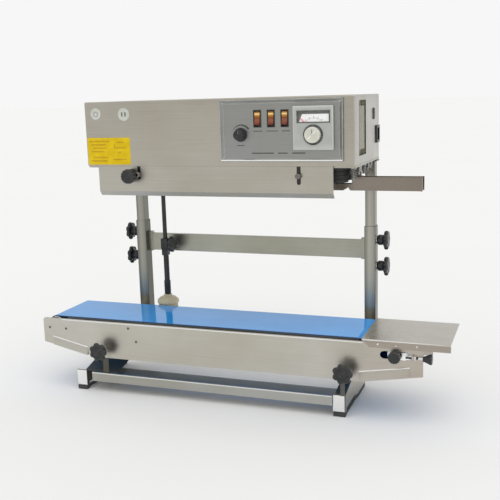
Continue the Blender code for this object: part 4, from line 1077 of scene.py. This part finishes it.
def build_wheel(node, bottom, top, material, slot, grooves=0):
    """A dished wheel on its axle, with shallow grooves round its rim."""
    low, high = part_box(node)
    profile = [(low[2], 0.0), (low[2], mm(4.9))]
    profile += along(bottom, 1, (0, 4.9), (0, 9), (1.2, 10), (1.2, 15), (0, 16.4), (0, 20))
    for i in range(grooves):
        middle = bottom + (i + 1) * (top - bottom) / (grooves + 1)
        profile += along(middle, 1, (-1, 20), (0, 19.2), (1, 20))
    profile += along(top, -1, (0.5, 20), (0.5, 17), (1, 4.9)) + [(high[2], mm(4.9)), (high[2], 0.0)]
    body = turned(profile, "Z", hub(f"{node}_spin", "Z"), 56, ease=mm(0.35))
    moving(f"{node}_body", body, material, node, slot)


def coil(centre, radius, wire, low, high, rounds):
    """A compression spring about an upright axis."""
    rings, total = [], rounds * 20
    for i in range(total + 1):
        angle = 2 * pi * i / 20
        out = Vector((cos(angle), sin(angle), 0.0))
        middle = Vector((*centre, low + (high - low) * i / total)) + out * radius
        rings.append([middle + (out * cos(a) + Vector((0, 0, 1)) * sin(a)) * wire for a in turns(14)])
    return loft(rings)


def build_plate_hardware():
    """Studs, nuts, springs and terminal blocks under the base plate, beside the guide."""
    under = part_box("head_base_plate")[0][2] - mm(0.1)
    bright = []
    for x, y, radius, drop, sides in STUDS:
        profile = along(under, -1, (drop, 0), (drop, radius), (0, radius), (0, 0))
        bright.append(turned(profile, "Z", mm(x, y), sides, ease=mm(0.6)))
    bright.append(coil(mm(240, -56), mm(5.6), mm(0.8), under - mm(23), under - mm(5), 6))
    bright.append(coil(mm(245, 6), mm(4.4), mm(0.7), under - mm(18), under - mm(4), 5))
    piece("plate_studs", bright, ZINC)
    for name, material, edge, places in PLATE_BLOCKS:
        blocks = [block(mm(*x), mm(*y), (under - mm(drop), under)) for x, y, drop in places]
        piece(name, blocks, material, edge=edge)


# Studs and nuts: (x, y, radius, drop below the plate, sides)
STUDS = ((240, -56, 2.4, 25, 20), (240, -56, 6.4, 5, 6), (245, 6, 2.2, 19, 20), (245, 6, 5.4, 4, 6),
         (245, -36, 4.6, 12, 6), (245, -36, 2.4, 17, 20), (246, 33, 4.8, 10, 6), (246, 33, 2.6, 15, 20),
         (244, 68, 4.8, 8, 6), (244, 68, 2.6, 14, 20))
PLATE_BLOCKS = (
    ("plate_brackets", BRACKET_GREY, 0.0005,
     (((231, 236), (-46, -38), 15), ((236, 238), (-12, 82), 15), ((238, 249), (-12, -10.5), 12))),
    ("terminal_blocks", BLACK, 0.0006, (((239, 246), (14, 23), 11), ((239, 244), (44, 56), 9))))


# ---------------------------------------------------------------- surroundings
def build_stage():
    made, tree, shader = new_material("studio_floor", 0.9, Specular_IOR_Level=0.0)
    tree.links.new(ramp(tree, pattern(tree, 1.5, 2.0), 0.90, 0.91), shader.inputs["Base Color"])
    bm = bmesh.new()
    bm.faces.new([bm.verts.new((x, y, -0.0002)) for x, y in rect((-60, 60), (-60, 60))])
    link("studio_floor", bm, made, 60.0)


def build_light():
    """A white room: plain behind the object, a little brighter from above and from the right."""
    world = bpy.data.worlds.new("studio")
    bpy.context.scene.world = world
    world.use_nodes = True
    tree = world.node_tree
    height = position(tree, "Z", 0.0, 1.0, "Generated")
    room = tree.nodes["Background"]
    put(tree, room.inputs["Color"], ramp(tree, height, (0.80, 0.80, 0.79), (0.96, 0.96, 0.95), 0.0, 0.9))
    put(tree, room.inputs["Strength"], 0.92)
    plain = add(tree, "Background", Color=(0.93, 0.93, 0.93, 1.0))
    blend = add(tree, "MixShader", Fac=add(tree, "LightPath").outputs["Is Camera Ray"])
    put(tree, blend.inputs[1], room.outputs["Background"])
    put(tree, blend.inputs[2], plain.outputs["Background"])
    put(tree, tree.nodes["World Output"].inputs["Surface"], blend.outputs["Shader"])
    sun = bpy.data.lights.new("soft_sun", "SUN")
    sun.energy = 0.62
    sun.angle = radians(50)
    lamp = bpy.data.objects.new("soft_sun", sun)
    lamp.rotation_euler = Vector((-0.35, 0.45, -1.0)).to_track_quat("-Z", "Y").to_euler()
    bpy.context.scene.collection.objects.link(lamp)


def build_camera():
    camera = bpy.data.cameras.new("camera")
    camera.sensor_width = 36.0
    camera.lens = 58.71
    camera.clip_start = 0.05
    obj = bpy.data.objects.new("camera", camera)
    turn = Matrix.Rotation(CAMERA_YAW, 3, "Z") @ Matrix.Rotation(CAMERA_PITCH, 3, "X")
    right, ahead, up = (turn @ Matrix.Rotation(CAMERA_ROLL, 3, "Y")).col
    pose = Matrix((right, up, -ahead)).transposed().to_4x4()
    pose.translation = Vector(CAMERA_PLACE)
    obj.matrix_world = pose
    bpy.context.scene.collection.objects.link(obj)
    bpy.context.scene.camera = obj


KEPT = (
    # Painted shade on the brackets and the bed plate; painted highlight on the tension slider.
    (STEEL_BASE, 0.0008, "base_bar"), (STEEL_PAINTED_SHADE, 0.0004, "base_bracket_left", "base_bracket_right"),
    (RUBBER, 0.0008, "rubber_foot_left", "rubber_foot_right"), (STEEL_PAINTED_SHADE, 0.0003, "bed_plate"),
    (STEEL_BAR, 0.0006, "post_crossbar"), (STEEL_TOP, 0.0006, "infeed_tray"),
    (STEEL_PAINTED_HIGHLIGHT, 0.0004, "tension_slider"), (STEEL_HEAD, 0.0004, "front_guard", "head_base_plate"),
    (STEEL_GUIDE, 0.0003, "infeed_guide"), (MOTOR, 0.0, "gear_motor"),
    (ALUMINIUM, 0.0, "tension_roller", "drive_roller", "drive_wheel_front", "drive_wheel_rear"),
    (ALUMINIUM, 0.0004, "cooling_block_front", "cooling_block_rear"),
    (BRASS, 0.0005, "heater_block_front", "heater_block_rear"),
    (BAND, 0.0, "sealing_band_front", "sealing_band_rear"))


def main():
    for material, edge, *names in KEPT:
        keep(material, edge, *names)
    build_camera()
    build_stage()
    build_light()
    build_stand()
    build_belt()
    build_rollers()
    build_shafts()
    build_housing()
    build_panel()
    build_controller()
    build_switches()
    build_inlet()
    build_labels()
    build_guard()
    build_sealing()
    bpy.context.scene.view_settings.view_transform = "Standard"


main()
